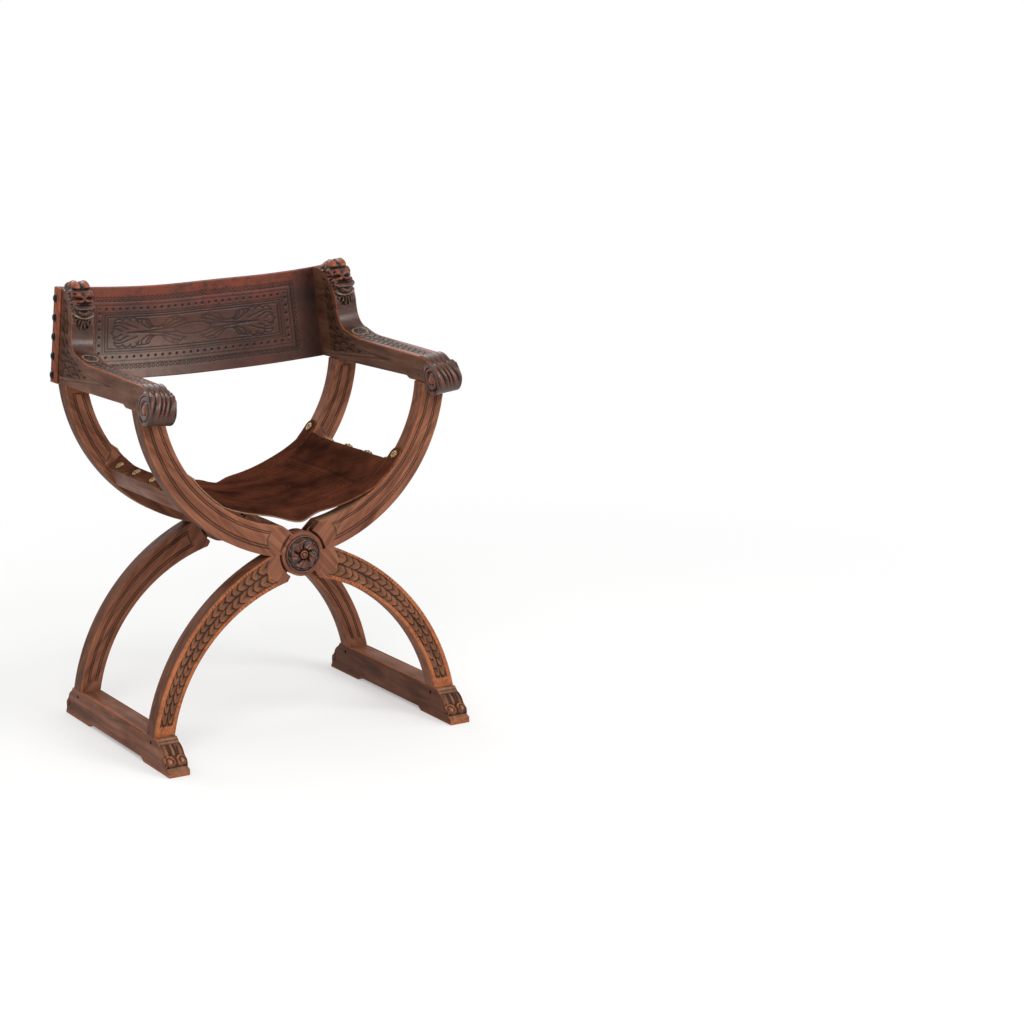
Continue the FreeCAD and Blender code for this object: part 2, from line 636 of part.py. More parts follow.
def toe_corners(end):
    """Return one toe's outline: its tip is at the runner's half length, its root at the leg's face."""
    root = f"({REAR_FACE})" if end > 0 else f"(-{FRONT_FACE})"
    corners = []
    for along, rise, curve in TOE_SHARES:
        reach = f"{root} + {along} * (sizes.runner_half_length - {root})"
        corners.append((f"{end} * ({reach})", f"{rise} * sizes.runner_height", curve))
    return corners


def runner_outline():
    """Return the corners of a runner as seen from the side, from the front pad's tip round to it."""
    relief_end = "(sizes.runner_half_length - sizes.pad_length)"
    relief_start = f"({relief_end} - {RELIEF_SLOPE_SHARE} * sizes.pad_relief)"
    rear = toe_corners(1)
    front = toe_corners(-1)
    # going the other way round, each edge's curve belongs to the corner before it
    curves = [curve for x, y, curve in front]
    front = [(x, y, curves[index - 1] if index else 0) for index, (x, y, curve) in enumerate(front)]
    front.reverse()
    return rear + front + [(f"-{relief_end}", "0", 0), (f"-{relief_start}", "sizes.pad_relief", 0),
                           (relief_start, "sizes.pad_relief", 0), (relief_end, "0", 0)]


def runner(name, side):
    """Make a runner with its toes, pads and stopped chamfers."""
    body = new_body(f"{name}_bar")
    pad(body, outline(body, f"{name}_profile", "YZ_Plane", runner_outline()), "sizes.runner_width")
    for edge in (LEFT, RIGHT):
        arris = (f"{edge} * sizes.runner_width / 2", "sizes.runner_height", 0)
        across = (f"{edge} * (sizes.runner_width / 2 - sizes.chamfer_size)", "sizes.runner_height", 0)
        down = (f"{edge} * sizes.runner_width / 2", "sizes.runner_height - sizes.chamfer_size", 0)
        section = outline(body, f"{name}_chamfer_{edge + 1}", "XZ_Plane", [arris, across, down],
                          lift="-sizes.frame_shift")
        pocket(body, section, f"{BETWEEN_FRAMES} - 2 * sizes.chamfer_stop")
    runner_frame(body, side)
    tools = [lower_tenon(f"{name}_{frame}_mortise", side, frame, "sizes.joint_gap") for frame in FRAMES]
    tools.append(runner_pegs(f"{name}_peg_holes", side, "sizes.fit_gap", "sizes.overrun"))
    return cut(name, body, *tools)


def seat_rail(name, side):
    """Make a side rail with the tenons that join the front frame to the rear one."""
    bar = bar_along_rail(f"{name}_bar", side, "sizes.rail_thickness", "sizes.rail_height", BETWEEN_FRAMES)
    whole = fuse(f"{name}_whole", bar, rail_tenon(f"{name}_tenons", side, "0"))
    return cut(name, whole, rail_nail_shanks(f"{name}_nail_holes", side))


def nail(body, name, plane, shift, seat, head_radius, dome):
    """Turn one nail about the sketch's Y axis, its head above a seat height and its shank below."""
    corners = [("0", f"{seat} - sizes.shank_length", 0),
               ("sizes.shank_radius", f"{seat} - sizes.shank_length", 0),
               ("sizes.shank_radius", seat, 0), (head_radius, seat, NAIL_DOME_SHARE),
               (f"{NAIL_CROWN_SHARE} * {head_radius}", f"{seat} + {dome}", 0), ("0", f"{seat} + {dome}", 0)]
    return revolve(body, outline(body, f"{name}_profile", plane, corners, shift=shift), "V_Axis")


def shank(body, name, plane, shift, seat):
    """Turn the tool for the hole of one nail's shank."""
    radius = "sizes.shank_radius + sizes.fit_gap"
    corners = [("0", f"{seat} - sizes.shank_length - sizes.joint_gap", 0),
               (radius, f"{seat} - sizes.shank_length - sizes.joint_gap", 0),
               (radius, f"{seat} + sizes.overrun", 0), ("0", f"{seat} + sizes.overrun", 0)]
    return revolve(body, outline(body, f"{name}_profile", plane, corners, shift=shift), "V_Axis")


LEATHER_TOP = "(sizes.soft_gap + sizes.leather_thickness)"
RAIL_SEAT = f"(sizes.rail_height / 2 + {LEATHER_TOP})"


def rail_nail_row(name, side, make, *sizes):
    """Set a row of nails, or of shank holes, along a rail's top."""
    body = new_body(name)
    start = "-(sizes.brass_nail_count - 1) * sizes.brass_nail_pitch / 2"
    first = make(body, name, "YZ_Plane", start, RAIL_SEAT, *sizes)
    repeat(body, first, "Y_Axis", "sizes.brass_nail_count", "sizes.brass_nail_pitch")
    return rail_frame(body, side)


def rail_nails(name, side):
    """Make the flower nails along one rail."""
    return rail_nail_row(name, side, nail, "sizes.brass_nail_radius", "sizes.brass_nail_dome")


def rail_nail_shanks(name, side):
    """Make the tool for the holes of one rail's nails."""
    return rail_nail_row(name, side, shank)


def tab_frame(body, side, frame):
    """Put a nail in the frame of an upper arc's inner edge, its head pointing to the arc's centre."""
    return place(body, x=f"{side} * {ARC_X}", y=FRAMES[frame], z=ARC_Z,
                 angle=f"{-side} * sizes.tab_nail_angle")


# a tab curves up round the flat underside of its nail, which stands off it a little
TAB_SEAT = f"({LEATHER_TOP} + sizes.soft_gap - {ARC_RADIUS})"


def tab_nail_shanks(name, side, frame):
    """Make the tool for the hole of one tab's nail."""
    body = new_body(name)
    shank(body, name, "XZ_Plane", "0", TAB_SEAT)
    return tab_frame(body, side, frame)


def tab_nails(name, side):
    """Make the two flower nails in the corner tabs of one side."""
    nails = []
    for frame in FRAMES:
        body = new_body(f"{name}_{frame}")
        nail(body, f"{name}_{frame}_nail", "XZ_Plane", "0", TAB_SEAT, "sizes.brass_nail_radius",
             "sizes.brass_nail_dome")
        nails.append(tab_frame(body, side, frame))
    group = DOC.addObject("Part::Compound", name)
    group.Links = nails
    return group


FLAP_SEAT = f"(sizes.arm_thickness / 2 + {LEATHER_TOP})"


def back_nail_row(name, side, make, *sizes):
    """Set the back's nails, or their shank holes, down the outer face of one post."""
    body = new_body(name)
    half_row = "((sizes.iron_nail_count - 1) * sizes.iron_nail_pitch / 2)"
    first = make(body, name, "XZ_Plane", f"-{half_row}", FLAP_SEAT, *sizes)
    repeat(body, first, "X_Axis", "sizes.iron_nail_count", "sizes.iron_nail_pitch")
    # the row is drawn along X with the heads up, then turned so that the heads point outwards
    along = f"(sizes.iron_nail_first + {half_row})"
    return place(body, x=f"{side} * ({ARM_MIDDLE} - {along} * sin(sizes.arm_lean))",
                 y=f"{POST_BACK} - sizes.iron_nail_edge", z=f"{ARM_HEIGHT} + {along} * cos(sizes.arm_lean)",
                 angle=f"{side} * (90 - sizes.arm_lean)")


def back_nails(name, side):
    """Make the black nails down one post."""
    return back_nail_row(name, side, nail, "sizes.iron_nail_radius", "sizes.iron_nail_dome")


def back_nail_shanks(name, side):
    """Make the tool for the holes of one post's nails."""
    return back_nail_row(name, side, shank)


def wire_through(points):
    """Join points into a closed wire; a triple (start, middle, end) is an arc."""
    edges = []
    for start, end in zip(points, points[1:] + points[:1]):
        tail = start[-1] if isinstance(start, tuple) else start
        head = end[0] if isinstance(end, tuple) else end
        if isinstance(start, tuple):
            edges.append(Part.Arc(*start).toShape())
        edges.append(Part.LineSegment(tail, head).toShape())
    return Part.Wire(edges)


class SeatShape:
    """Works out the seat leather's sections from the sheet's sizes."""

    def __init__(self):
        """Read the sizes that the leather follows."""
        self.pivot = value("sizes.pivot_height")
        self.offset, self.centre, self.radius = value(ARC_X), value(ARC_Z), value(ARC_RADIUS)
        self.gap = value("sizes.soft_gap")
        self.thickness = value("sizes.leather_thickness")
        # the slope up to the rails starts where the seat leaves the front uprights
        self.flat_reach = self.on_arc(value("sizes.front_foot_angle"), self.gap)[0]

    def on_arc(self, angle, lift):
        """Return (x, z) at an angle from straight down on the upper arc's inner edge, lifted off it."""
        turn = math.radians(angle)
        radius = self.radius - lift
        return radius * math.sin(turn) + self.offset, self.centre - radius * math.cos(turn)

    def sling_height(self, foot, dip, reach):
        """Return the height at a reach of the arc through a foot point and the dip in the middle."""
        foot_x, foot_z = foot
        drop = foot_z - dip
        radius = (foot_x ** 2 + drop ** 2) / (2 * drop)
        return dip + radius - math.sqrt(radius ** 2 - reach ** 2)

    def tab_section(self, y, foot_angle, dip):
        """Return the section over an upright pair, from one tab round to the other."""
        tab_angle = value("sizes.tab_angle")
        rows = []
        for lift in (self.gap, self.gap + self.thickness):
            rise = lift - self.gap
            end, middle = (self.on_arc(angle, lift) for angle in (tab_angle, (tab_angle + foot_angle) / 2))
            foot_x, foot_z = self.on_arc(foot_angle, self.gap)
            foot = (foot_x, foot_z + rise)
            rows.append([(-end[0], end[1]), (-middle[0], middle[1]), (-foot[0], foot[1]), (0, dip + rise),
                         foot, middle, end])
        points = [[Vector(x, y, z) for x, z in row] for row in rows]
        lower, upper = points[0], points[1][::-1]
        edges = []
        for row in (lower, upper):
            for first in (0, 2, 4):
                edges.append(Part.Arc(*row[first:first + 3]).toShape())
        edges.insert(3, Part.LineSegment(lower[-1], upper[0]).toShape())
        edges.append(Part.LineSegment(upper[-1], lower[0]).toShape())
        return Part.Wire(edges)

    def rail_section(self, y, foot_angle, dip):
        """Return the section between the frames, over one rail, down to the dip and up again."""
        lean = math.radians(value("sizes.rail_lean"))
        rail_x, rail_z = value(RAIL_REACH), value(RAIL_HEIGHT)
        half_width, half_height = value("sizes.rail_thickness / 2"), value("sizes.rail_height / 2")
        foot = self.on_arc(foot_angle, self.gap)
        flat_z = self.sling_height(foot, dip, self.flat_reach)
        rows = []
        for lift in (self.gap, self.gap + self.thickness):
            rise = lift - self.gap
            row = []
            for across in (half_width, -half_width):
                up = half_height + lift
                row.append((rail_x + across * math.cos(lean) + up * math.sin(lean),
                            rail_z - across * math.sin(lean) + up * math.cos(lean)))
            row.append((self.flat_reach, flat_z + rise))
            rows.append([(-x, z) for x, z in row] + [(0, dip + rise)] + row[::-1])
        points = [[Vector(x, y, z) for x, z in row] for row in rows]
        edges = []
        for row in (points[0], points[1][::-1]):
            for first in (0, 1):
                edges.append(Part.LineSegment(row[first], row[first + 1]).toShape())
            edges.append(Part.Arc(*row[2:5]).toShape())
            for first in (4, 5):
                edges.append(Part.LineSegment(row[first], row[first + 1]).toShape())
        edges.insert(5, Part.LineSegment(points[0][-1], points[1][-1]).toShape())
        edges.append(Part.LineSegment(points[1][0], points[0][0]).toShape())
        return Part.Wire(edges)


def seat_leather(name):
    """Make the sling seat: over both rails, with a strip and two tabs along each frame."""
    shape = SeatShape()
    gap = shape.gap
    dips = {key: shape.pivot + value(f"sizes.{key}_dip_rise") for key in ("front", "middle", "rear")}
    front_angle, rear_angle = value("sizes.front_foot_angle"), value("sizes.rear_foot_angle")
    middle_angle = (front_angle + rear_angle) / 2
    front, back = value(SEAT_FRONT) + gap, value(SEAT_BACK) - gap
    depth = value("sizes.member_depth") + gap
    stations = [shape.rail_section(front, front_angle, dips["front"]),
                shape.rail_section((front + back) / 2, middle_angle, dips["middle"]),
                shape.rail_section(back, rear_angle, dips["rear"])]
    middle = Part.makeLoft(stations, True, True)
    front_face = Part.Face(shape.tab_section(front, front_angle, dips["front"]))
    rear_face = Part.Face(shape.tab_section(back, rear_angle, dips["rear"]))
    whole = middle.multiFuse([front_face.extrude(Vector(0, -depth, 0)),
                              rear_face.extrude(Vector(0, depth, 0))]).removeSplitter()
    sheet = DOC.addObject("Part::Feature", f"{name}_sheet")
    sheet.Shape = whole
    holes = [rail_nail_shanks(f"{name}_rail_holes_{side + 1}", side) for side in (LEFT, RIGHT)]
    for side in (LEFT, RIGHT):
        for frame in FRAMES:
            holes.append(tab_nail_shanks(f"{name}_{frame}_hole_{side + 1}", side, frame))
    return cut(name, sheet, *holes)


def back_leather(name):
    """Make the back: a strap behind each post with a flap on its outer face, and a bowed sheet."""
    thickness, gap = value("sizes.leather_thickness"), value("sizes.soft_gap")
    half, height = value("sizes.arm_thickness / 2"), value("sizes.post_height")
    back, flap = value(POST_BACK), value("sizes.back_flap")
    lean = math.radians(value("sizes.arm_lean"))
    arm_x, arm_z = value(ARM_MIDDLE), value(ARM_HEIGHT)
    bow, sag = value("sizes.back_bow"), value("sizes.back_sag")
    outer = half + gap + thickness
    parts = []
    for side in (LEFT, RIGHT):
        flap_low = half + gap if side == RIGHT else -outer
        strap_low = -half if side == RIGHT else -outer
        flap_box = Part.makeBox(thickness, flap + gap + thickness, height, Vector(flap_low, back - flap, 0))
        strap_box = Part.makeBox(half + outer, thickness, height, Vector(strap_low, back + gap, 0))
        post = flap_box.fuse(strap_box)
        post.Placement = FreeCAD.Placement(Vector(side * arm_x, 0, arm_z),
                                           FreeCAD.Rotation(Vector(0, 1, 0), -side * math.degrees(lean)))
        parts.append(post)
    # the inner edge of each post, from its foot to its top
    low_x, low_z = arm_x - half * math.cos(lean), arm_z - half * math.sin(lean)
    top_x, top_z = low_x - height * math.sin(lean), low_z + height * math.cos(lean)
    stations = []
    for index in range(BACK_STRIPS + 1):
        across = 2 * index / BACK_STRIPS - 1
        hang = 1 - across ** 2
        y = back + gap + bow * hang
        foot = Vector(across * low_x, y, low_z - sag * hang)
        head = Vector(across * top_x, y, top_z - sag * hang)
        through = Vector(0, thickness, 0)
        stations.append(Part.makePolygon([foot, head, head + through, foot + through, foot]))
    parts.append(Part.makeLoft(stations, True, True))
    sheet = DOC.addObject("Part::Feature", f"{name}_sheet")
    sheet.Shape = parts[2].multiFuse(parts[:2]).removeSplitter()
    holes = [back_nail_shanks(f"{name}_holes_{side + 1}", side) for side in (LEFT, RIGHT)]
    return cut(name, sheet, *holes)


def build():
    """Make every piece and return the objects to write, by node name."""
    nodes = {}
    for frame in FRAMES:
        for hand in ("left", "right"):
            name = f"{frame}_{hand}_member"
            nodes[name] = s_member(name, hand, frame)
        nodes[f"{frame}_pivot_pin"] = pivot_pin(f"{frame}_pivot_pin", frame)
    nodes["front_rosette"] = rosette("front_rosette")
    makers = {"arm": arm, "runner": runner, "seat_rail": seat_rail, "arm_pegs": arm_pegs,
              "runner_pegs": runner_pegs, "rail_nails": rail_nails, "tab_nails": tab_nails,
              "back_nails": back_nails}
    for hand, side in (("left", LEFT), ("right", RIGHT)):
        for piece, make in makers.items():
            nodes[f"{hand}_{piece}"] = make(f"{hand}_{piece}", side)
    nodes["seat_leather"] = seat_leather("seat_leather")
    nodes["back_leather"] = back_leather("back_leather")
    return nodes


def check(nodes):
    """Stop with a message if any object failed or any piece's shape is missing or invalid."""
    for thing in DOC.Objects:
        if {"Invalid", "Error"} & set(thing.State):
            raise RuntimeError(f"{thing.Name} failed: {thing.State}")
    for name, thing in nodes.items():
        if thing.Shape.isNull() or not thing.Shape.isValid() or not thing.Shape.Solids:
            raise RuntimeError(f"{name} has no valid solid")


def main():
    """Build the chair, check it and write one file for each piece."""
    nodes = build()
    DOC.recompute()
    check(nodes)
    os.makedirs("parts", exist_ok=True)
    for name, thing in nodes.items():
        thing.Label = name
        thing.Shape.exportStep(f"parts/{name}.step")
        box_of = thing.Shape.BoundBox
        print(f"{name}: {len(thing.Shape.Solids)} solids, {thing.Shape.Volume / 1000:.1f} cm3, "
              f"x {box_of.XMin:.1f}..{box_of.XMax:.1f}, y {box_of.YMin:.1f}..{box_of.YMax:.1f}, "
              f"z {box_of.ZMin:.1f}..{box_of.ZMax:.1f}")


main()
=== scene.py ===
"""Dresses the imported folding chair: carved walnut, tooled leather, brass and iron, on a pale stage."""

import logging
import math
from dataclasses import dataclass
from enum import Enum
from typing import Callable, Iterable, Sequence

import bmesh
import bpy
import numpy as np
from mathutils import Matrix, Vector


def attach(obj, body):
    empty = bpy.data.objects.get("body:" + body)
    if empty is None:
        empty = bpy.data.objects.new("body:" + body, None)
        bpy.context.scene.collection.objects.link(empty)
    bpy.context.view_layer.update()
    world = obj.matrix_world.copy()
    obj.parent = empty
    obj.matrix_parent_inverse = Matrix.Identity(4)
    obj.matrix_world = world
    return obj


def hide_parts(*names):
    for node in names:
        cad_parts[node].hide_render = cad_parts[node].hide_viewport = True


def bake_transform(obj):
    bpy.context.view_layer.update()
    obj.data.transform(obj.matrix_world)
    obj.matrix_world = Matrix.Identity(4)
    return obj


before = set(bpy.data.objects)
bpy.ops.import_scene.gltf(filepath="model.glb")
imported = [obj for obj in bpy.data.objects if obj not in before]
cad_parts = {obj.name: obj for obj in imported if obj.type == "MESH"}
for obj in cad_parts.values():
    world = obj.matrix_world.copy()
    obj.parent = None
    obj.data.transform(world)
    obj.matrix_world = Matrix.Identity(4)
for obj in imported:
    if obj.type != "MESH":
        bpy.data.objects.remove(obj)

Array = np.ndarray
Material = bpy.types.Material
Mesh = bpy.types.Mesh
Piece = bpy.types.Object
Socket = bpy.types.NodeSocket
ScreenColour = tuple[int, int, int]
Corners = tuple[tuple[float, float], ...]
MM = 0.001
LOG = logging.getLogger("chair")
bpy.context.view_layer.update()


class Side(Enum):
    """The viewer's left or right half of the chair."""

    LEFT = -1
    RIGHT = 1

    @property
    def word(self) -> str:
        """Return the side's name as the frame writes it."""
        return self.name.lower()

    @property
    def other(self) -> "Side":
        """Return the opposite half."""
        return Side(-self.value)


class Face(Enum):
    """The four faces of a board's section."""

    FRONT = 0
    OUTER = 1
    REAR = 2
    INNER = 3


class Grain(Enum):
    """How the wood's grain runs, as a turn (degrees) that lays it along X."""

    ALONG_DEPTH = (0.0, 0.0, 90.0)
    RISING = (0.0, 48.0, 0.0)
    FALLING = (0.0, -48.0, 0.0)


@dataclass(frozen=True)
class Plan:
    """The chair's sizes that several pieces share, in mm and degrees."""

    pivot: float = 372.0
    member_depth: float = 38.0
    front_member: float = -198.0
    rear_member: float = 170.0
    arm_x: float = 296.7
    arm_z: float = 676.0
    arm_width: float = 47.0
    arm_lean: float = 6.0
    rail_x: float = 219.3
    rail_z: float = 495.1
    rail_width: float = 26.0
    rail_height: float = 42.0
    rail_front: float = -160.0
    rail_rear: float = 170.0
    rail_lean: float = 25.0
    # the inner edge of the uprights, an arc seen from the front
    arc_x: float = -5.36
    arc_z: float = 704.52
    arc_radius: float = 277.5
    leather: float = 2.5
    gap: float = 0.3


PLAN = Plan()


def colour(screen: Sequence[int]) -> tuple[float, float, float, float]:
    """Return a screen colour as the linear one that a shader takes.

    Args:
        screen: red, green and blue as they should look, 0 to 255.
    Returns:
        The linear colour with an alpha of 1.
    """
    shares = (value / 255 for value in screen)
    linear = (s / 12.92 if s <= 0.04045 else ((s + 0.055) / 1.055) ** 2.4 for s in shares)
    return (*linear, 1.0)


# shared helpers


def values_of(items: bpy.types.bpy_prop_collection, label: str, kind: type = np.float32) -> Array:
    """Return one value for each of a mesh's items."""
    values = np.empty(len(items), kind)
    items.foreach_get(label, values)
    return values


def places_of(mesh: Mesh) -> Array:
    """Return a mesh's points, one in each row."""
    flat = np.empty(3 * len(mesh.vertices), np.float32)
    mesh.vertices.foreach_get("co", flat)
    return flat.reshape(-1, 3)


def baked(bm: bmesh.types.BMesh, name: str) -> Mesh:
    """Return a new mesh made from a working one, which is freed."""
    mesh = bpy.data.meshes.new(name)
    bm.to_mesh(mesh)
    bm.free()
    return mesh


def placed(name: str, data: bpy.types.ID) -> Piece:
    """Return a new object in the scene, at the origin."""
    piece = bpy.data.objects.new(name, data)
    bpy.context.scene.collection.objects.link(piece)
    return piece


# finishes


class Shader:
    """Puts a material's nodes together."""

    def __init__(self, name: str) -> None:
        """Start a material with an empty Principled surface."""
        self.material = bpy.data.materials.new(name)
        self.material.use_nodes = True
        self.tree = self.material.node_tree
        self.surface = self.tree.nodes["Principled BSDF"]
        self.place = self.add("ShaderNodeTexCoord").outputs["Object"]

    def add(self, kind: str, **values: object) -> bpy.types.Node:
        """Add a node and set its own options."""
        node = self.tree.nodes.new(kind)
        for key, setting in values.items():
            setattr(node, key, setting)
        return node

    def link(self, source: object, socket: Socket) -> None:
        """Feed a socket from an output, or set it to a plain value."""
        if isinstance(source, Socket):
            self.tree.links.new(source, socket)
        else:
            socket.default_value = source

    def mapped(self, scale: Sequence[float], turn: Sequence[float] = (0, 0, 0)) -> Socket:
        """Return the object's place, turned and then scaled.

        Args:
            scale: how many pattern units go in a metre, for each axis.
            turn: degrees about each axis.
        Returns:
            The socket with the mapped place.
        """
        turned = self.add("ShaderNodeMapping")
        turned.inputs["Rotation"].default_value = [math.radians(angle) for angle in turn]
        self.link(self.place, turned.inputs["Vector"])
        scaled = self.add("ShaderNodeMapping")
        scaled.inputs["Scale"].default_value = scale
        self.link(turned.outputs[0], scaled.inputs["Vector"])
        return scaled.outputs[0]

    def noise(self, scale: Sequence[float], turn: Sequence[float] = (0, 0, 0), detail: float = 4.0,
              rough: float = 0.55, warp: float = 0.0) -> Socket:
        """Return a noise over the object's place, turned and scaled as mapped does it."""
        place = self.mapped(scale, turn)
        node = self.add("ShaderNodeTexNoise")
        self.link(place, node.inputs["Vector"])
        for key, setting in (("Scale", 1.0), ("Detail", detail), ("Roughness", rough), ("Distortion", warp)):
            node.inputs[key].default_value = setting
        return node.outputs["Fac"]

    def ramp(self, source: object, low: float, high: float, start: float = 0.0,
             end: float = 1.0) -> Socket:
        """Return a value stretched from one range to another, held inside it."""
        node = self.add("ShaderNodeMapRange", clamp=True)
        self.link(source, node.inputs["Value"])
        for key, setting in (("From Min", low), ("From Max", high), ("To Min", start), ("To Max", end)):
            node.inputs[key].default_value = setting
        return node.outputs["Result"]

    def maths(self, operation: str, first: object, second: object) -> Socket:
        """Return one arithmetic step on two values."""
        node = self.add("ShaderNodeMath", operation=operation)
        self.link(first, node.inputs[0])
        self.link(second, node.inputs[1])
        return node.outputs[0]

    def mix(self, share: object, first: object, second: object) -> Socket:
        """Return a colour between two: the first at a share of 0, the second at 1."""
        node = self.add("ShaderNodeMix", data_type="RGBA")
        self.link(share, node.inputs["Factor"])
        self.link(first, node.inputs[6])
        self.link(second, node.inputs[7])
        return node.outputs[2]

    def carried(self, label: str) -> Socket:
        """Return a value that the mesh carries at its points."""
        return self.add("ShaderNodeAttribute", attribute_name=label).outputs["Fac"]

    def feed(self, socket: str, source: object) -> None:
        """Feed one of the surface's own sockets."""
        self.link(source, self.surface.inputs[socket])

    def bump(self, height: object, strength: float, distance: float) -> None:
        """Raise the surface: a height of 1 is one distance, in metres, at full strength."""
        node = self.add("ShaderNodeBump")
        node.inputs["Strength"].default_value = strength
        node.inputs["Distance"].default_value = distance
        self.link(height, node.inputs["Height"])
        self.feed("Normal", node.outputs[0])


@dataclass(frozen=True)
class Walnut:
    """Waxed walnut: darker in its carving from dirt and painted shade, pale in its cuts and with painted
    highlights on its ridges, wear on its edges, a polish where hands rub it.
    """

    name: str
    dark: ScreenColour
    light: ScreenColour
    worn: ScreenColour
    # the dark of dirt and of painted shade in the carving
    grime_and_shade: ScreenColour
    gloss: float
    # the pale of residue in the cuts and of painted highlights on raised carving
    dust_and_highlight: ScreenColour = (186, 162, 130)
    grain: Grain = Grain.ALONG_DEPTH
    roughness: float = 0.46

    def make(self) -> Material:
        """Return the material."""
        shader = Shader(self.name)
        turn = self.grain.value
        streaks = shader.noise((7, 70, 70), turn, detail=5, warp=0.6)
        pores = shader.noise((45, 900, 900), turn, detail=2)
        cloud = shader.noise((14, 14, 14), detail=3)
        wood = shader.mix(shader.ramp(streaks, 0.32, 0.68), colour(self.dark), colour(self.light))
        wood = shader.mix(shader.ramp(pores, 0.58, 0.72, 0.0, 0.55), wood, colour(self.dark))
        wood = shader.mix(shader.ramp(cloud, 0.35, 0.75, 0.0, 0.30), wood, colour(self.dark))
        scuffs = shader.noise((160, 160, 160), detail=4, rough=0.7)
        # wear also carries the painted highlight beside the frames' grooves
        wear = shader.maths("MULTIPLY", shader.carried("wear"), shader.ramp(scuffs, 0.30, 0.62))
        wood = shader.mix(wear, wood, colour(self.worn))
        # darker by the recess: dirt and painted shade
        wood = shader.mix(shader.carried("recess"), wood, colour(self.grime_and_shade))
        # paler by the pale attribute: residue in the cuts and painted highlights
        dust_and_highlight_share = shader.maths("MULTIPLY", shader.carried("pale"), shader.ramp(scuffs, 0.25, 0.6, 0.25, 0.9))
        wood = shader.mix(dust_and_highlight_share, wood, colour(self.dust_and_highlight))
        shader.feed("Base Color", wood)
        rough = shader.ramp(cloud, 0.3, 0.7, self.roughness - 0.07, self.roughness + 0.08)
        rough = shader.maths("ADD", rough, shader.maths("MULTIPLY", shader.carried("recess"), 0.16))
        rough = shader.maths("SUBTRACT", rough, shader.maths("MULTIPLY", shader.carried("polish"), 0.08))
        shader.feed("Roughness", rough)
        shader.feed("Specular IOR Level", self.gloss)
        height = shader.maths("ADD", pores, shader.maths("MULTIPLY", scuffs, 0.6))
        shader.bump(height, 0.35, 0.0005)
        return shader.material


@dataclass(frozen=True)
class EndGrain:
    """The dark sawn end of a peg or pin, with growth rings."""

    name: str
    dark: ScreenColour = (46, 28, 19)
    light: ScreenColour = (112, 76, 50)

    def make(self) -> Material:
        """Return the material."""
        shader = Shader(self.name)
        rings = shader.noise((420, 420, 420), detail=3, rough=0.6)
        wood = shader.mix(shader.ramp(rings, 0.35, 0.65), colour(self.dark), colour(self.light))
        shader.feed("Base Color", wood)
        shader.feed("Roughness", shader.ramp(rings, 0.3, 0.7, 0.45, 0.6))
        shader.bump(rings, 0.4, 0.0004)
        return shader.material


@dataclass(frozen=True)
class Hide:
    """Old leather: a creased grain, darker where it is tooled and where shade is painted, rubbed where it
    stands proud, pale at cut edges and in a painted sheen.
    """

    name: str
    dark: ScreenColour
    light: ScreenColour
    rubbed: ScreenColour
    tooled: ScreenColour
    gloss: float
    # the pale of cut edges and of the back's painted sheen
    cut: ScreenColour = (150, 112, 82)
    roughness: float = 0.42

    def make(self) -> Material:
        """Return the material."""
        shader = Shader(self.name)
        cloud = shader.noise((9, 9, 9), detail=5, rough=0.6)
        mottle = shader.noise((70, 70, 70), detail=4, rough=0.65)
        hide = shader.mix(shader.ramp(cloud, 0.35, 0.66), colour(self.dark), colour(self.light))
        hide = shader.mix(shader.ramp(mottle, 0.52, 0.75, 0.0, 0.45), hide, colour(self.dark))
        wear = shader.maths("MULTIPLY", shader.carried("wear"), shader.ramp(mottle, 0.3, 0.6))
        hide = shader.mix(wear, hide, colour(self.rubbed))
        # pale at cut edges and in the back's painted sheen
        cut_edge_and_sheen = shader.maths("MULTIPLY", shader.carried("pale"), shader.ramp(mottle, 0.2, 0.6, 0.5, 1.0))
        hide = shader.mix(cut_edge_and_sheen, hide, colour(self.cut))
        # darker where tooled, and on the back in painted shade near the posts and in the folds
        hide = shader.mix(shader.carried("recess"), hide, colour(self.tooled))
        shader.feed("Base Color", hide)
        shader.feed("Roughness", shader.ramp(mottle, 0.3, 0.7, self.roughness - 0.08, self.roughness + 0.1))
        shader.feed("Specular IOR Level", self.gloss)
        cells = shader.add("ShaderNodeTexVoronoi")
        cells.inputs["Scale"].default_value = 1.0
        shader.link(shader.mapped((520, 520, 520)), cells.inputs["Vector"])
        creases = shader.noise((150, 150, 150), detail=5, rough=0.7)
        height = shader.maths("ADD", shader.maths("MULTIPLY", cells.outputs["Distance"], 0.5), creases)
        shader.bump(height, 0.35, 0.0007)
        return shader.material


@dataclass(frozen=True)
class Metal:
    """A cast or turned metal, dull in its hollows."""

    name: str
    dark: ScreenColour
    light: ScreenColour
    roughness: float

    def make(self) -> Material:
        """Return the material."""
        shader = Shader(self.name)
        stain = shader.noise((260, 260, 260), detail=4, rough=0.6)
        metal = shader.mix(shader.ramp(stain, 0.35, 0.65), colour(self.dark), colour(self.light))
        metal = shader.mix(shader.carried("recess"), metal, colour([part // 3 for part in self.dark]))
        shader.feed("Base Color", metal)
        shader.feed("Metallic", 1.0)
        shader.feed("Roughness", shader.ramp(stain, 0.3, 0.7, self.roughness - 0.06, self.roughness + 0.12))
        shader.bump(stain, 0.3, 0.0003)
        return shader.material


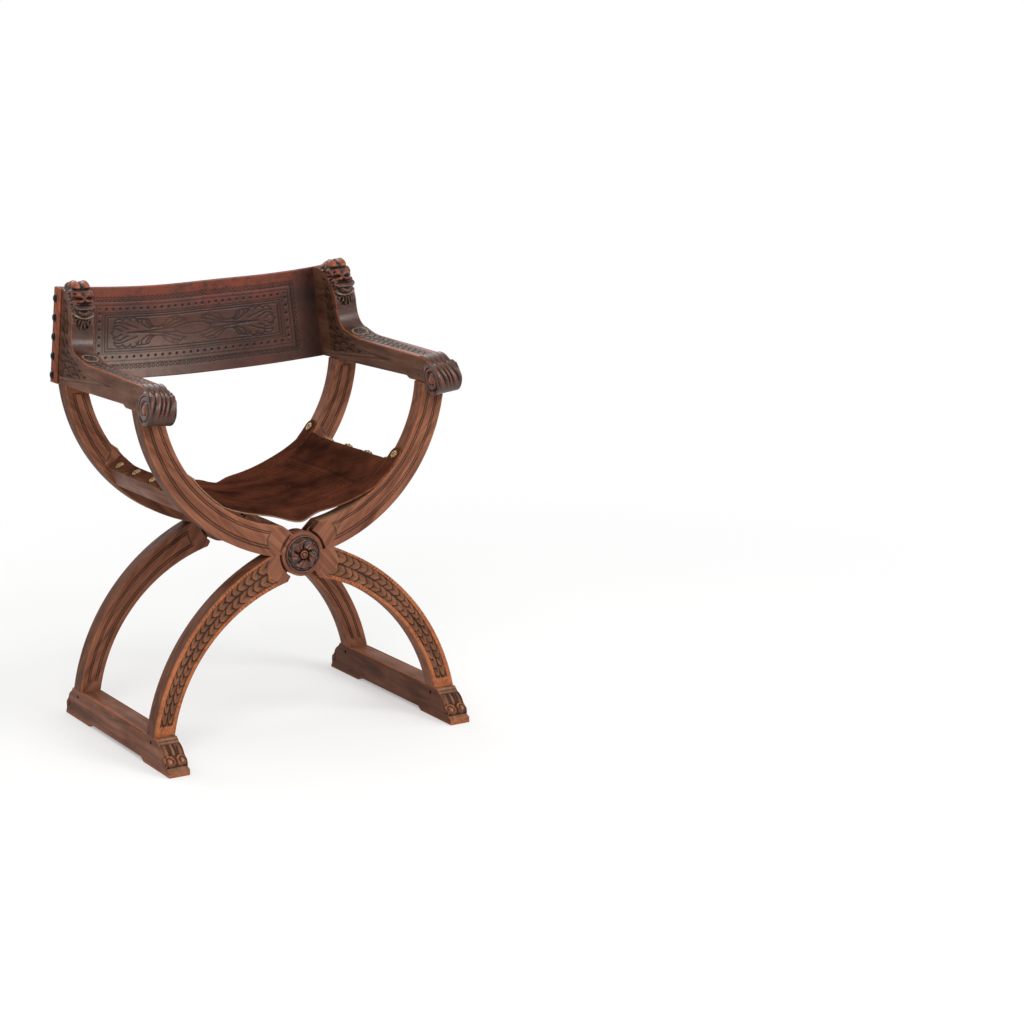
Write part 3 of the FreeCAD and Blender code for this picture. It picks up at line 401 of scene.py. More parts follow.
class Finishes:
    """Makes each finish once and puts it on pieces."""

    def __init__(self) -> None:
        """Make the chair's materials."""
        frame_wood = dict(dark=(88, 54, 41), light=(142, 93, 71), worn=(186, 108, 60), grime_and_shade=(36, 27, 21),
                          gloss=0.05)
        self.walnut = {grain: Walnut(f"walnut_{grain.name.lower()}", grain=grain, **frame_wood).make()
                       for grain in Grain}
        self.arm = Walnut("polished_walnut", dark=(52, 26, 17), light=(96, 54, 36), worn=(184, 88, 34),
                          grime_and_shade=(18, 11, 9), roughness=0.36, gloss=0.42).make()
        self.arm_side = Walnut("waxed_walnut", dark=(74, 45, 33), light=(120, 82, 64), worn=(176, 96, 60),
                               grime_and_shade=(30, 20, 15), roughness=0.50, gloss=0.06).make()
        self.end_grain = EndGrain("end_grain_walnut").make()
        self.seat = Hide("seat_hide", dark=(50, 27, 20), light=(98, 54, 38), rubbed=(130, 86, 62),
                         tooled=(30, 15, 11), cut=(146, 124, 104), gloss=0.0).make()
        self.back = Hide("back_hide", dark=(48, 29, 24), light=(88, 53, 42), rubbed=(132, 54, 30),
                         tooled=(18, 11, 9), cut=(168, 148, 136), roughness=0.36, gloss=0.30).make()
        self.flesh = Hide("flesh_side_hide", dark=(78, 42, 31), light=(132, 74, 51), rubbed=(168, 92, 62),
                          tooled=(60, 34, 24), roughness=0.62, gloss=0.05).make()
        self.brass = Metal("old_brass", (120, 92, 60), (214, 186, 140), 0.36).make()
        self.iron = Metal("black_iron", (16, 15, 15), (46, 43, 41), 0.42).make()

    def put(self, piece: Piece, *materials: Material) -> None:
        """Give a piece one finish all over, and a sheet a second one for its far side."""
        piece.data.materials.clear()
        for material in materials:
            piece.data.materials.append(material)

    def put_by_polish(self, piece: Piece, plain: Material,
                      shiny: Material) -> None:
        """Give a piece a plain finish, and a shiny one where its polish is high."""
        self.put(piece, plain, shiny)
        mesh = piece.data
        polish = values_of(mesh.attributes["polish"].data, "value")
        corners = values_of(mesh.loops, "vertex_index", np.int32)
        firsts = values_of(mesh.polygons, "loop_start", np.int32)
        mesh.polygons.foreach_set("material_index", (polish[corners[firsts]] > 0.5).astype(np.int32))

    def put_on_node(self, node: str, material: Material) -> None:
        """Give a frame node a finish in every slot it has."""
        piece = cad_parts[node]
        for slot in piece.material_slots:
            slot.material = material


# meshes


def smooth(start: float, end: float, values: Array) -> Array:
    """Return 0 to 1 as values go from start to end, eased at both ends."""
    share = np.clip((values - start) / (end - start), 0, 1)
    return share * share * (3 - 2 * share)


def hill(distance: Array, reach: float) -> Array:
    """Return a soft bump: 1 at no distance, near 0 past the reach."""
    return np.exp(-(distance / reach) ** 2)


def rows(*runs: tuple[float, float, float]) -> Array:
    """Return samples along joined runs, each a start, an end and a step."""
    parts = []
    for start, end, step in runs:
        count = max(1, int(math.ceil(abs(end - start) / step)))
        parts.append(np.linspace(start, end, count + 1)[:-1])
    return np.concatenate([*parts, [runs[-1][1]]])


@dataclass
class Shaped:
    """Where a grid's points go, in mm, and what they carry."""

    points: Array
    # darkening: dirt in the hollows, and painted shade in them and on shaded faces
    recess: Array
    wear: Array
    # paler: residue in cuts, painted highlights on raised carving and a painted sheen on the back leather
    pale: Array | None = None
    polish: Array | None = None


def lofted(name: str, along: Array, around: Array, shape: Callable[[Array, Array], Shaped],
           ring: bool = True, ends: bool = True) -> Mesh:
    """Bend a grid into a skin.

    Args:
        name: the mesh's name.
        along: the values down the piece, one for each column.
        around: the values across it, one for each row.
        shape: gives each point's place and what it carries.
        ring: whether the rows close on themselves.
        ends: whether open ends get a face.
    Returns:
        The mesh, in metres, with its faces outward.
    """
    bm = bmesh.new()
    bmesh.ops.create_grid(bm, x_segments=len(along) - 1, y_segments=len(around) - 1, size=0.5)
    mesh = baked(bm, name)
    grid = places_of(mesh) + 0.5
    column = np.rint(grid[:, 0] * (len(along) - 1)).astype(int)
    row = np.rint(grid[:, 1] * (len(around) - 1)).astype(int)
    shaped = shape(along[column], around[row])
    mesh.vertices.foreach_set("co", (shaped.points * MM).astype(np.float32).ravel())
    for label in ("recess", "wear", "pale", "polish"):
        values = getattr(shaped, label)
        if values is None:
            continue
        layer = mesh.attributes.new(label, "FLOAT", "POINT")
        layer.data.foreach_set("value", np.clip(values, 0, 1).astype(np.float32))
    bm = bmesh.new()
    bm.from_mesh(mesh)
    if ring or ends:
        rim = [vert for vert in bm.verts if vert.is_boundary]
        bmesh.ops.remove_doubles(bm, verts=rim, dist=2e-6)
        if ends:
            bmesh.ops.holes_fill(bm, edges=[edge for edge in bm.edges if edge.is_boundary], sides=0)
    bmesh.ops.recalc_face_normals(bm, faces=bm.faces)
    bm.to_mesh(mesh)
    bm.free()
    return mesh


def ringed(name: str, reach: Array, steps: int, shape: Callable[[Array, Array, Array], Shaped],
           start: float = 0.0) -> Mesh:
    """Make a skin of rings round an axis.

    Args:
        name: the mesh's name.
        reach: each ring's radius, mm.
        steps: how many points go round a ring.
        shape: gives the points from their ring's number and radius and their turn.
        start: the first point's turn.
    Returns:
        The mesh.
    """
    def by_ring(ring: Array, turn: Array) -> Shaped:
        ring = np.rint(ring).astype(int)
        return shape(ring, reach[ring], turn)

    turns = np.linspace(start, start + 2 * math.pi, steps)
    return lofted(name, np.arange(len(reach), dtype=float), turns, by_ring)


def joined(name: str, meshes: Iterable[Mesh], flat_below: float = 40.0) -> Piece:
    """Put several skins in one object at the origin.

    Args:
        name: the object's name.
        meshes: the skins, in metres.
        flat_below: the angle between faces, in degrees, past which an edge stays sharp.
    Returns:
        The object, in the scene.
    """
    bm = bmesh.new()
    for mesh in meshes:
        bm.from_mesh(mesh)
        bpy.data.meshes.remove(mesh)
    for face in bm.faces:
        face.smooth = True
    for edge in bm.edges:
        edge.smooth = edge.calc_face_angle(0) < math.radians(flat_below)
    return placed(name, baked(bm, name))


def turned(name: str, profile: Sequence[tuple[float, float]], steps: int, place: Matrix) -> Mesh:
    """Spin a profile round an axis.

    Args:
        name: the mesh's name.
        profile: (radius, height) in mm; a closed loop, or open with both ends on the axis.
        steps: how many faces go round.
        place: moves the piece, spun about Z, to its place in mm.
    Returns:
        The mesh, in metres.
    """
    bm = bmesh.new()
    points = [bm.verts.new((radius, 0, height)) for radius, height in profile]
    for first, second in zip(points, points[1:]):
        bm.edges.new((first, second))
    if profile[0][0] > 0:
        bm.edges.new((points[-1], points[0]))
    bmesh.ops.spin(bm, geom=bm.verts[:] + bm.edges[:], cent=(0, 0, 0), axis=(0, 0, 1), dvec=(0, 0, 0),
                   angle=2 * math.pi, steps=steps, use_merge=True)
    bmesh.ops.remove_doubles(bm, verts=bm.verts, dist=1e-4)
    bmesh.ops.recalc_face_normals(bm, faces=bm.faces)
    bmesh.ops.transform(bm, matrix=Matrix.Scale(MM, 4) @ place, verts=bm.verts)
    return baked(bm, name)


@dataclass(frozen=True)
class Section:
    """Points round a board's section: shares of its sides plus millimetres, with the way out of each."""

    across: Array
    slide: Array
    through: Array
    sink: Array
    out_across: Array
    out_through: Array
    face: Array

    @staticmethod
    def rounded(broad: Sequence[float], narrow: Sequence[float], radius: float) -> "Section":
        """Lay out a rectangle with rounded corners.

        Args:
            broad: shares across the front and rear faces, from 0 to 1.
            narrow: shares through the two edges, from 0 to 1.
            radius: of the corners, in mm.
        Returns:
            The section, closed on its first point.
        """
        found: list[tuple[float, ...]] = []
        sides = ((Face.FRONT, broad, (0, -1)), (Face.OUTER, narrow, (1, 0)),
                 (Face.REAR, broad, (0, 1)), (Face.INNER, narrow, (-1, 0)))
        corners = ((1, 0), (1, 1), (0, 1), (0, 0))
        corner_steps = 3
        for turn, ((face, shares, out), corner) in enumerate(zip(sides, corners)):
            still = (int(face in (Face.OUTER, Face.REAR)), 0)
            for share in shares:
                inset = radius * (1 - 2 * share)
                run = (share, inset) if turn < 2 else (1 - share, -inset)
                place = (*run, *still) if shares is broad else (*still, *run)
                found.append((*place, *out, face.value))
            for step in range(1, corner_steps):
                angle = math.radians(-90 + 90 * turn + 90 * step / corner_steps)
                way = (math.cos(angle), math.sin(angle))
                across, through = (radius * (part + (-1 if end else 1)) for part, end in zip(way, corner))
                found.append((corner[0], across, corner[1], through, *way, face.value + 0.5))
        found.append(found[0])
        return Section(*(np.array(column, float) for column in zip(*found)))


@dataclass
class Spot:
    """Points on a board's skin, as its carving sees them."""

    share: Array       # 0 to 1 along the board
    plane: Array       # place in the board's own plane, mm
    across: Array      # mm from the inner edge
    width: Array       # the board's width there, mm
    depth: Array       # mm from the front face
    face: Array        # the Face's value

    def on(self, *faces: Face) -> Array:
        """Return which points are on one of the given faces."""
        return np.isin(self.face, [face.value for face in faces])

    @property
    def broad(self) -> Array:
        """Return which points are on one of the two broad faces."""
        return self.on(Face.FRONT, Face.REAR)


Carving = Callable[[Spot], tuple[Array, ...]]


def board(name: str, stations: Array, section: Section, region: Callable[[Array, Array], Array],
          thickness: float, carve: Carving, to_world: Callable[[Array, Array], Array]) -> Mesh:
    """Make a thick carved board from the outline of its plane.

    Args:
        name: the mesh's name.
        stations: shares along the board.
        section: the points round it.
        region: gives the plane's point at a share along and a share across.
        thickness: through the board, in mm.
        carve: gives how far each point stands out, its recess (dirt and painted shade) and its wear, and may
            add its pale marks (residue and painted highlights) and polish.
        to_world: turns plane points and depths into the chair's place, mm.
    Returns:
        The mesh.
    """
    def shape(share: Array, index: Array) -> Shaped:
        index = index.astype(int)
        low, high = region(share, np.zeros_like(share)), region(share, np.ones_like(share))
        width = np.maximum(np.linalg.norm(high - low, axis=1), 0.5)
        fit = np.minimum(1, width / 12)
        across = section.across[index] + section.slide[index] * fit / width
        plane = region(share, across)
        step = region(share, across + 0.01) - region(share, across - 0.01)
        step /= np.maximum(np.linalg.norm(step, axis=1, keepdims=True), 1e-6)
        depth = section.through[index] * thickness + section.sink[index]
        spot = Spot(share, plane, across * width, width, depth, section.face[index])
        stand, recess, wear, *more = carve(spot)
        plane = plane + step * (section.out_across[index] * stand)[:, None]
        edge = np.minimum(across * width, width - across * width)
        edge = np.hypot(np.maximum(edge, 0), np.minimum(depth, thickness - depth))
        wear = np.maximum(wear, 0.62 * hill(edge, 2.2))
        return Shaped(to_world(plane, depth + section.out_through[index] * stand), recess, wear, *more)
    return lofted(name, stations, np.arange(len(section.across), dtype=float), shape)


def arc_between(start: Array, end: Array, sagitta: Array, share: Array) -> Array:
    """Return points on arcs: a share along each, bulging left of its travel by a share of its chord."""
    chord = end - start
    length = np.linalg.norm(chord, axis=1)
    half = 2 * np.arctan(2 * np.abs(sagitta)) + 1e-9
    radius = length / (2 * np.sin(half))
    turn = (2 * share - 1) * half
    forward = length / 2 + radius * np.sin(turn)
    aside = np.sign(sagitta) * radius * (np.cos(turn) - np.cos(half))
    unit = chord / length[:, None]
    left = np.stack([-unit[:, 1], unit[:, 0]], axis=1)
    return start + unit * forward[:, None] + left * aside[:, None]


def along_line(corners: Sequence[tuple[float, float]], share: Array,
               marks: Sequence[float] | None = None) -> Array:
    """Return points a share along a run of corners, by length or by given marks."""
    points = np.array(corners, float)
    if marks is None:
        lengths = np.linalg.norm(np.diff(points, axis=0), axis=1)
        marks = np.concatenate([[0], np.cumsum(lengths)]) / lengths.sum()
    return np.stack([np.interp(share, marks, points[:, 0]), np.interp(share, marks, points[:, 1])], axis=1)


# carving patterns


def lobes(along: Array, across: Array, half: float, pitch: float, depth: float) -> tuple[Array, Array]:
    """Carve one row of overlapping rounded leaves, tips toward smaller values of along.

    Args:
        along: mm down the row.
        across: mm from the row's middle.
        half: half the row's width, mm.
        pitch: from one tip to the next, mm.
        depth: of the carving, mm.
    Returns:
        How far each point stands up (0 to depth) and how deep in shade it is (0 to 1).
    """
    side = np.clip(np.abs(across) / half, 0, 1)
    tip = 0.52 * side ** 1.6
    place = np.mod(along / pitch - tip, 1.0)
    body = (1 - 0.8 * place) * (1 - 0.35 * side ** 2)
    vein = hill(across, half * 0.12) * smooth(0.05, 0.25, place)
    ribs = 0.5 + 0.5 * np.cos(2 * math.pi * (2.5 * place - 1.3 * side))
    ribs = ribs * smooth(0.15, 0.35, side) * (1 - smooth(0.6, 0.8, place))
    stand = depth * np.clip(body - 0.28 * vein - 0.12 * ribs, 0, 1) * (1 - smooth(0.9, 1.0, side))
    shade = np.clip(smooth(0.5, 0.95, place) + 0.45 * vein + 0.2 * ribs + smooth(0.82, 1.0, side), 0, 1)
    return stand, shade


def whorl(first: Array, second: Array, reach: float, pitch: float, hand: float = 1.0) -> tuple[Array, Array]:
    """Carve a spiral curl.

    Args:
        first, second: mm from the curl's eye, in its plane.
        reach: the curl's radius, mm.
        pitch: between turns, mm.
        hand: 1 or -1, the way it winds.
    Returns:
        The ridge height (0 to 1) and the shade (0 to 1).
    """
    radius = np.hypot(first, second)
    turn = hand * np.arctan2(second, first) / (2 * math.pi)
    phase = np.mod(radius / pitch - turn, 1.0)
    groove = np.minimum(phase, 1 - phase) * pitch
    inside = 1 - smooth(reach * 0.86, reach, radius)
    ridge = (1 - hill(groove, pitch * 0.2)) * inside
    return ridge, hill(groove, pitch * 0.16) * inside


def groove_pair(distance: Array) -> tuple[Array, Array]:
    """Return the cut and the shade of two fine grooves side by side."""
    spread, width, depth = 1.7, 0.9, 1.5
    cut = np.maximum(hill(distance - spread, width), hill(distance + spread, width))
    return -depth * cut, cut


def fitted(piece: Piece, node: str, half: Side) -> Piece:
    """Put a finished piece in a node's place, moving with one half of the chair.

    Args:
        piece: the piece, with its finish.
        node: the frame's node that it replaces.
        half: the half that it rides on.
    Returns:
        The piece.
    """
    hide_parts(node)
    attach(piece, f"{half.word}_half")
    LOG.info("%s: %d faces", piece.name, len(piece.data.polygons))
    return piece


# the frames


@dataclass
class FoldingFrame:
    """One pair of crossed S-members, front or rear."""

    name: str
    front: float
    finishes: Finishes
    disc: float = 43.0
    hollow: float = 48.0
    plain_hub: float = 66.0
    bore: float = 9.05
    bore_bevel: float = 0.6
    disc_bevel: float = 0.8
    disc_clearance: float = 0.1
    groove_middles: tuple[float, float] = (0.31, 0.67)
    notch: tuple[float, float] = (66.0, 376.0)
    corner_slope: float = 42.0
    upper_corner: tuple[float, float] = (38.0, 430.4)
    lower_corner: tuple[float, float] = (34.0, 321.0)
    lower_slope: float = 58.0
    bands_from: float = 283.0
    # the rounded ends of the plain part round the hub: each a centre from the pivot and a radius
    hub_ends: tuple[tuple[float, float, float], ...] = ((54.3, 32.6, 19.0), (50.0, -21.6, 25.5))
    upper_reach: tuple[float, float] = (270.7, 317.7)
    lower_reach: tuple[float, float] = (277.4, 320.6)
    foot: float = 62.0
    upper_sag: tuple[float, float] = (-0.170, -0.157)
    lower_sag: tuple[float, float] = (0.145, 0.128)

    def hub_edge(self, upper: bool, radius: float) -> list[tuple[float, float]]:
        """Return the leg's end at the hub, from its inner corner round the circle to the notch."""
        corner_x, corner_z = self.upper_corner if upper else self.lower_corner
        rise = corner_z - PLAN.pivot
        slope = math.radians(self.corner_slope if upper else self.lower_slope)
        way = (-math.cos(slope), -math.sin(slope) if upper else math.sin(slope))
        half = -(corner_x * way[0] + rise * way[1])
        reach = half - math.sqrt(half ** 2 - (corner_x ** 2 + rise ** 2 - radius ** 2))
        first = math.atan2(rise + way[1] * reach, corner_x + way[0] * reach)
        last = math.asin((self.notch[1] - PLAN.pivot) / radius)
        arc = [(radius * math.cos(angle), PLAN.pivot + radius * math.sin(angle))
               for angle in np.linspace(first, last, 24)]
        return [(corner_x, corner_z), *arc, self.notch]

    def from_pivot(self, plane: Array) -> Array:
        """Return how far points of the frame's plane are from the pivot, mm."""
        return np.hypot(plane[:, 0], plane[:, 1] - PLAN.pivot)

    def leg(self, name: str, side: Side, upper: bool, lap_front: bool, carve: Carving,
            broad: Array) -> Mesh:
        """Make one curved leg, from the hub to the arm or the runner."""
        near = self.hub_edge(upper, self.disc)
        far_hub = self.hub_edge(upper, self.hollow)
        reach = self.upper_reach if upper else self.lower_reach
        ends = []
        for x in reach:
            under_arm = PLAN.arm_z + (x - PLAN.arm_x) * math.tan(math.radians(PLAN.arm_lean))
            z = under_arm if upper else self.foot
            ends.append((x, z))
        sag = self.upper_sag if upper else self.lower_sag
        section = Section.rounded(broad, np.linspace(0, 1, 9), 2.2)
        middle = PLAN.member_depth / 2

        def region_from(hub: list[tuple[float, float]]) -> Callable[[Array, Array], Array]:
            def region(share: Array, across: Array) -> Array:
                start = along_line(hub, across)
                end = along_line(ends, across)
                bulge = sag[0] + (sag[1] - sag[0]) * across
                return arc_between(start, end, bulge, share)
            return region

        near_region, far_region = region_from(near), region_from(far_hub)

        def to_world(plane: Array, depth: Array) -> Array:
            return np.stack([plane[:, 0] * side.value, self.front + depth, plane[:, 1]], axis=1)

        def carved(spot: Spot) -> tuple[Array, ...]:
            stand, recess, wear, *more = carve(spot)
            keep = smooth(self.plain_hub, self.plain_hub + 8, self.from_pivot(spot.plane))
            return stand * keep, recess * keep, wear, *more

        # the half that laps the other member's hollow goes in to the disc; the other half stops at the hollow
        stations = rows((0, 0.06, 0.01), (0.06, 0.97, 0.0042), (0.97, 1, 0.006))
        mesh = board(name, stations, section, far_region, PLAN.member_depth, carved, to_world)
        neck_section = Section.rounded(np.linspace(0, 1, 25), np.linspace(0, 1, 4), 1.0)
        neck_from = 0.0 if lap_front else middle + self.disc_clearance
        neck = board(f"{name}_neck", np.array([0.0, 0.006, 0.0125]), neck_section, near_region,
                     middle - self.disc_clearance,
                     lambda spot: (np.full(len(spot.share), -0.15), spot.share * 0, spot.share * 0),
                     lambda plane, depth: to_world(plane, depth + neck_from))
        bm = bmesh.new()
        bm.from_mesh(mesh)
        bm.from_mesh(neck)
        bm.to_mesh(mesh)
        bm.free()
        bpy.data.meshes.remove(neck)
        return mesh

    def lap(self, name: str, lap_front: bool) -> Mesh:
        """Make the half-thick disc that turns on the pin."""
        half = PLAN.member_depth / 2 - self.disc_clearance
        start = self.front if lap_front else self.front + PLAN.member_depth - half
        inner, outer = self.bore_bevel, self.disc_bevel
        profile = [(self.bore, inner), (self.bore, half - inner), (self.bore + inner, half),
                   (self.disc - outer, half), (self.disc, half - outer), (self.disc, outer),
                   (self.disc - outer, 0), (self.bore + inner, 0)]
        place = Matrix.Translation((0, start, PLAN.pivot)) @ Matrix.Rotation(math.radians(-90), 4, "X")
        return turned(name, profile, 96, place)

    def member(self, hand: Side) -> Piece:
        """Make one S-member: its upper arc on its own side and its leg on the other."""
        lap_front = hand is Side.LEFT
        name = f"{self.name}_{hand.word}_member"
        bands = self.band_samples()
        meshes = [self.leg(f"{name}_arc", hand, True, lap_front, self.carve_bands, bands),
                  self.leg(f"{name}_leg", hand.other, False, lap_front, self.carve_leg, self.leg_samples()),
                  self.lap(f"{name}_lap", lap_front)]
        piece = joined(f"carved_{name}", meshes)
        grain = Grain.RISING if hand is Side.RIGHT else Grain.FALLING
        self.finishes.put(piece, self.finishes.walnut[grain])
        return fitted(piece, name, hand)

    def band_samples(self) -> Array:
        """Return shares across the arc, close together at the two pairs of grooves."""
        wide, fine = 0.06, 0.0125
        return rows((0, 0.24, wide), (0.24, 0.38, fine), (0.38, 0.60, wide), (0.60, 0.74, fine),
                    (0.74, 1, wide))

    def leg_samples(self) -> Array:
        """Return shares across the lower leg."""
        return self.band_samples()

    def past_hub(self, plane: Array) -> Array:
        """Return how far points are past the rounded end of the hub's plain part, mm."""
        rise = plane[:, 1] - PLAN.pivot
        upper, lower = (np.hypot(plane[:, 0] - x, rise - z) - radius for x, z, radius in self.hub_ends)
        return np.where(rise > 0, upper, lower)

    def carve_bands(self, spot: Spot) -> tuple[Array, ...]:
        """Cut two pairs of grooves down both broad faces: round at the hub's end, square at the arm's."""
        hub, height = self.from_pivot(spot.plane), spot.plane[:, 1]
        past_plain = hub > self.plain_hub
        short = (height > PLAN.pivot) & spot.on(Face.FRONT)
        past = np.minimum(self.past_hub(spot.plane), np.where(short, hub - self.bands_from, 99))
        stop = smooth(-1, 1.5, past) * past_plain * (1 - smooth(PLAN.arm_z - 16, PLAN.arm_z - 13, height))
        stop = stop * smooth(self.foot + 16, self.foot + 19, height)
        share = spot.across / spot.width
        offsets = [(share - middle) * spot.width for middle in self.groove_middles]
        cut = np.zeros(len(share))
        shade = np.zeros(len(share))
        for offset in offsets:
            depth, dark = groove_pair(offset)
            cut, shade = np.minimum(cut, depth), np.maximum(shade, dark)
        inside = smooth(0.33, 0.37, share) * (1 - smooth(0.61, 0.65, share))
        ends = np.maximum(hill(past, 1.5), hill(height - (PLAN.arm_z - 15), 1.4)) * inside * past_plain
        keep = stop * spot.broad
        cut = cut * keep - 1.2 * ends * spot.broad
        shade = np.maximum(shade * keep, ends * spot.broad)
        # a painted highlight beside each pair of grooves, carried as wear
        lit = hill(offsets[0] - 4.2, 1.1) + hill(offsets[1] + 4.2, 1.1)
        # paler on the inner faces above the pivot, fading away from the hub
        dust_and_highlight = 0.45 * spot.on(Face.INNER) * (height > PLAN.pivot) * (1 - smooth(90, 230, hub))
        # a painted highlight just past the rounded ends of the bands
        rim = hill(past - 2.6, 1.0) * inside * spot.broad * past_plain
        # the outer faces darker all along
        shade = np.maximum(0.85 * shade, 0.38 * spot.on(Face.OUTER))
        return cut, shade, 0.15 * lit * keep, np.maximum(0.3 * rim, dust_and_highlight)

    def carve_leg(self, spot: Spot) -> tuple[Array, ...]:
        """Carve the lower leg: bands, as on the arc."""
        return self.carve_bands(spot)


@dataclass
class FrontFrame(FoldingFrame):
    """The front pair, with leaf panels down its lower legs."""

    bands_from: float = 0.0
    border: float = 9.5
    panel_depth: float = 3.2
    panel_end: float = 80.0
    leaf_pitch: float = 17.0
    nick_pitch: float = 7.0

    def leg_samples(self) -> Array:
        """Return shares across the lower leg, even over its leaf panel."""
        return rows((0, 0.17, 0.03), (0.17, 0.83, 0.0235), (0.83, 1, 0.03))

    def carve_leg(self, spot: Spot) -> tuple[Array, ...]:
        """Sink a panel on the front face and carve two staggered rows of rounded leaves in it."""
        hub, height = self.from_pivot(spot.plane), spot.plane[:, 1]
        front, rear = spot.on(Face.FRONT), spot.on(Face.REAR)
        edge = np.minimum(spot.across, spot.width - spot.across)
        inside = smooth(self.border - 0.6, self.border + 0.9, edge)
        inside = inside * smooth(-0.5, 1.0, self.past_hub(spot.plane))
        inside = inside * smooth(self.plain_hub, self.plain_hub + 3, hub)
        inside = inside * smooth(self.panel_end - 1, self.panel_end + 1, height) * front
        half = (spot.width - 2 * self.border) / 4
        middle = spot.width / 2
        stand = np.zeros(len(hub))
        shade = np.zeros(len(hub))
        for row, shift in ((-1, 0.0), (1, 0.5)):
            across = spot.across - middle - row * half
            near = np.abs(across) <= half
            drift = 1.6 * np.sin(hub / 19 + 2 * row) + 1.1 * np.sin(hub / 7.3 + row)
            leaf, dark = lobes(shift * self.leaf_pitch - hub + drift, across - 0.6 * np.sin(hub / 12 + row),
                               0.93 * half, self.leaf_pitch, self.panel_depth)
            stand = np.where(near, leaf, stand)
            shade = np.where(near, dark, shade)
        cut = inside * (stand - self.panel_depth)
        nicks = hill(np.mod(hub, self.nick_pitch) - self.nick_pitch / 2, 0.8)
        nicks = nicks * smooth(250, 215, PLAN.pivot - height + 130)
        nicks = nicks * (edge < self.border - 1) * (edge > 2) * front * (hub > 80)
        grooves, dark, _, pale = self.carve_bands(spot)
        cut = cut - 0.9 * nicks + grooves * rear
        recess = np.maximum(inside * (0.12 + 0.74 * shade), 0.8 * nicks)
        recess = np.maximum(recess, dark * (1 - front))
        wear = 0.7 * front * (1 - inside) * (hub > 78) + 0.45 * inside * smooth(1.7, 2.8, stand)
        dust_and_highlight = np.maximum(pale * rear, 0.25 * inside * shade * (1 - shade))
        return cut, recess, wear, dust_and_highlight


# the arms


def bent_line(corners: Sequence[tuple[float, float]], bends: Sequence[float], marks: Sequence[float],
              share: Array) -> Array:
    """Return points on a run of arcs.

    Args:
        corners: where the arcs meet.
        bends: each arc's sagitta as a share of its chord, left of its travel.
        marks: the share along at each corner.
        share: where the points are.
    Returns:
        The points.
    """
    points, sags, stops = np.array(corners, float), np.array(bends, float), np.array(marks, float)
    index = np.clip(np.searchsorted(stops, share, side="right") - 1, 0, len(sags) - 1)
    local = (share - stops[index]) / (stops[index + 1] - stops[index])
    return arc_between(points[index], points[index + 1], sags[index], np.clip(local, 0, 1))


def teeth(values: Array, pitch: float) -> Array:
    """Return a row of points: 0 at the valleys and 1 at the tips."""
    return 1 - 2 * np.abs(np.mod(values / pitch, 1.0) - 0.5)


def stroke(first: Array, second: Array, middle: tuple[float, float], radius: float, start: float,
           end: float, width: float) -> Array:
    """Return 1 on a short arc cut in a plane, fading over its width.

    Args:
        first, second: the plane's coordinates, mm.
        middle: the arc's centre.
        radius: of the arc, mm.
        start, end: its angles, in degrees.
        width: how far the cut fades, mm.
    Returns:
        The cut, 0 to 1.
    """
    across, up = first - middle[0], second - middle[1]
    angle = np.mod(np.degrees(np.arctan2(up, across)) - start, 360)
    reach = np.abs(np.hypot(across, up) - radius)
    return hill(reach, width) * (angle <= end - start)


@dataclass(frozen=True)
class Lump:
    """A soft carved swelling, the same left and right of the middle."""

    across: float
    up: float
    half_width: float
    half_height: float
    stand: float
    shade: float = 0.0

    def weigh(self, across: Array, up: Array) -> Array:
        """Return how much of the swelling each point has."""
        side = (np.abs(across) - self.across) / self.half_width
        return np.exp(-side ** 2 - ((up - self.up) / self.half_height) ** 2)


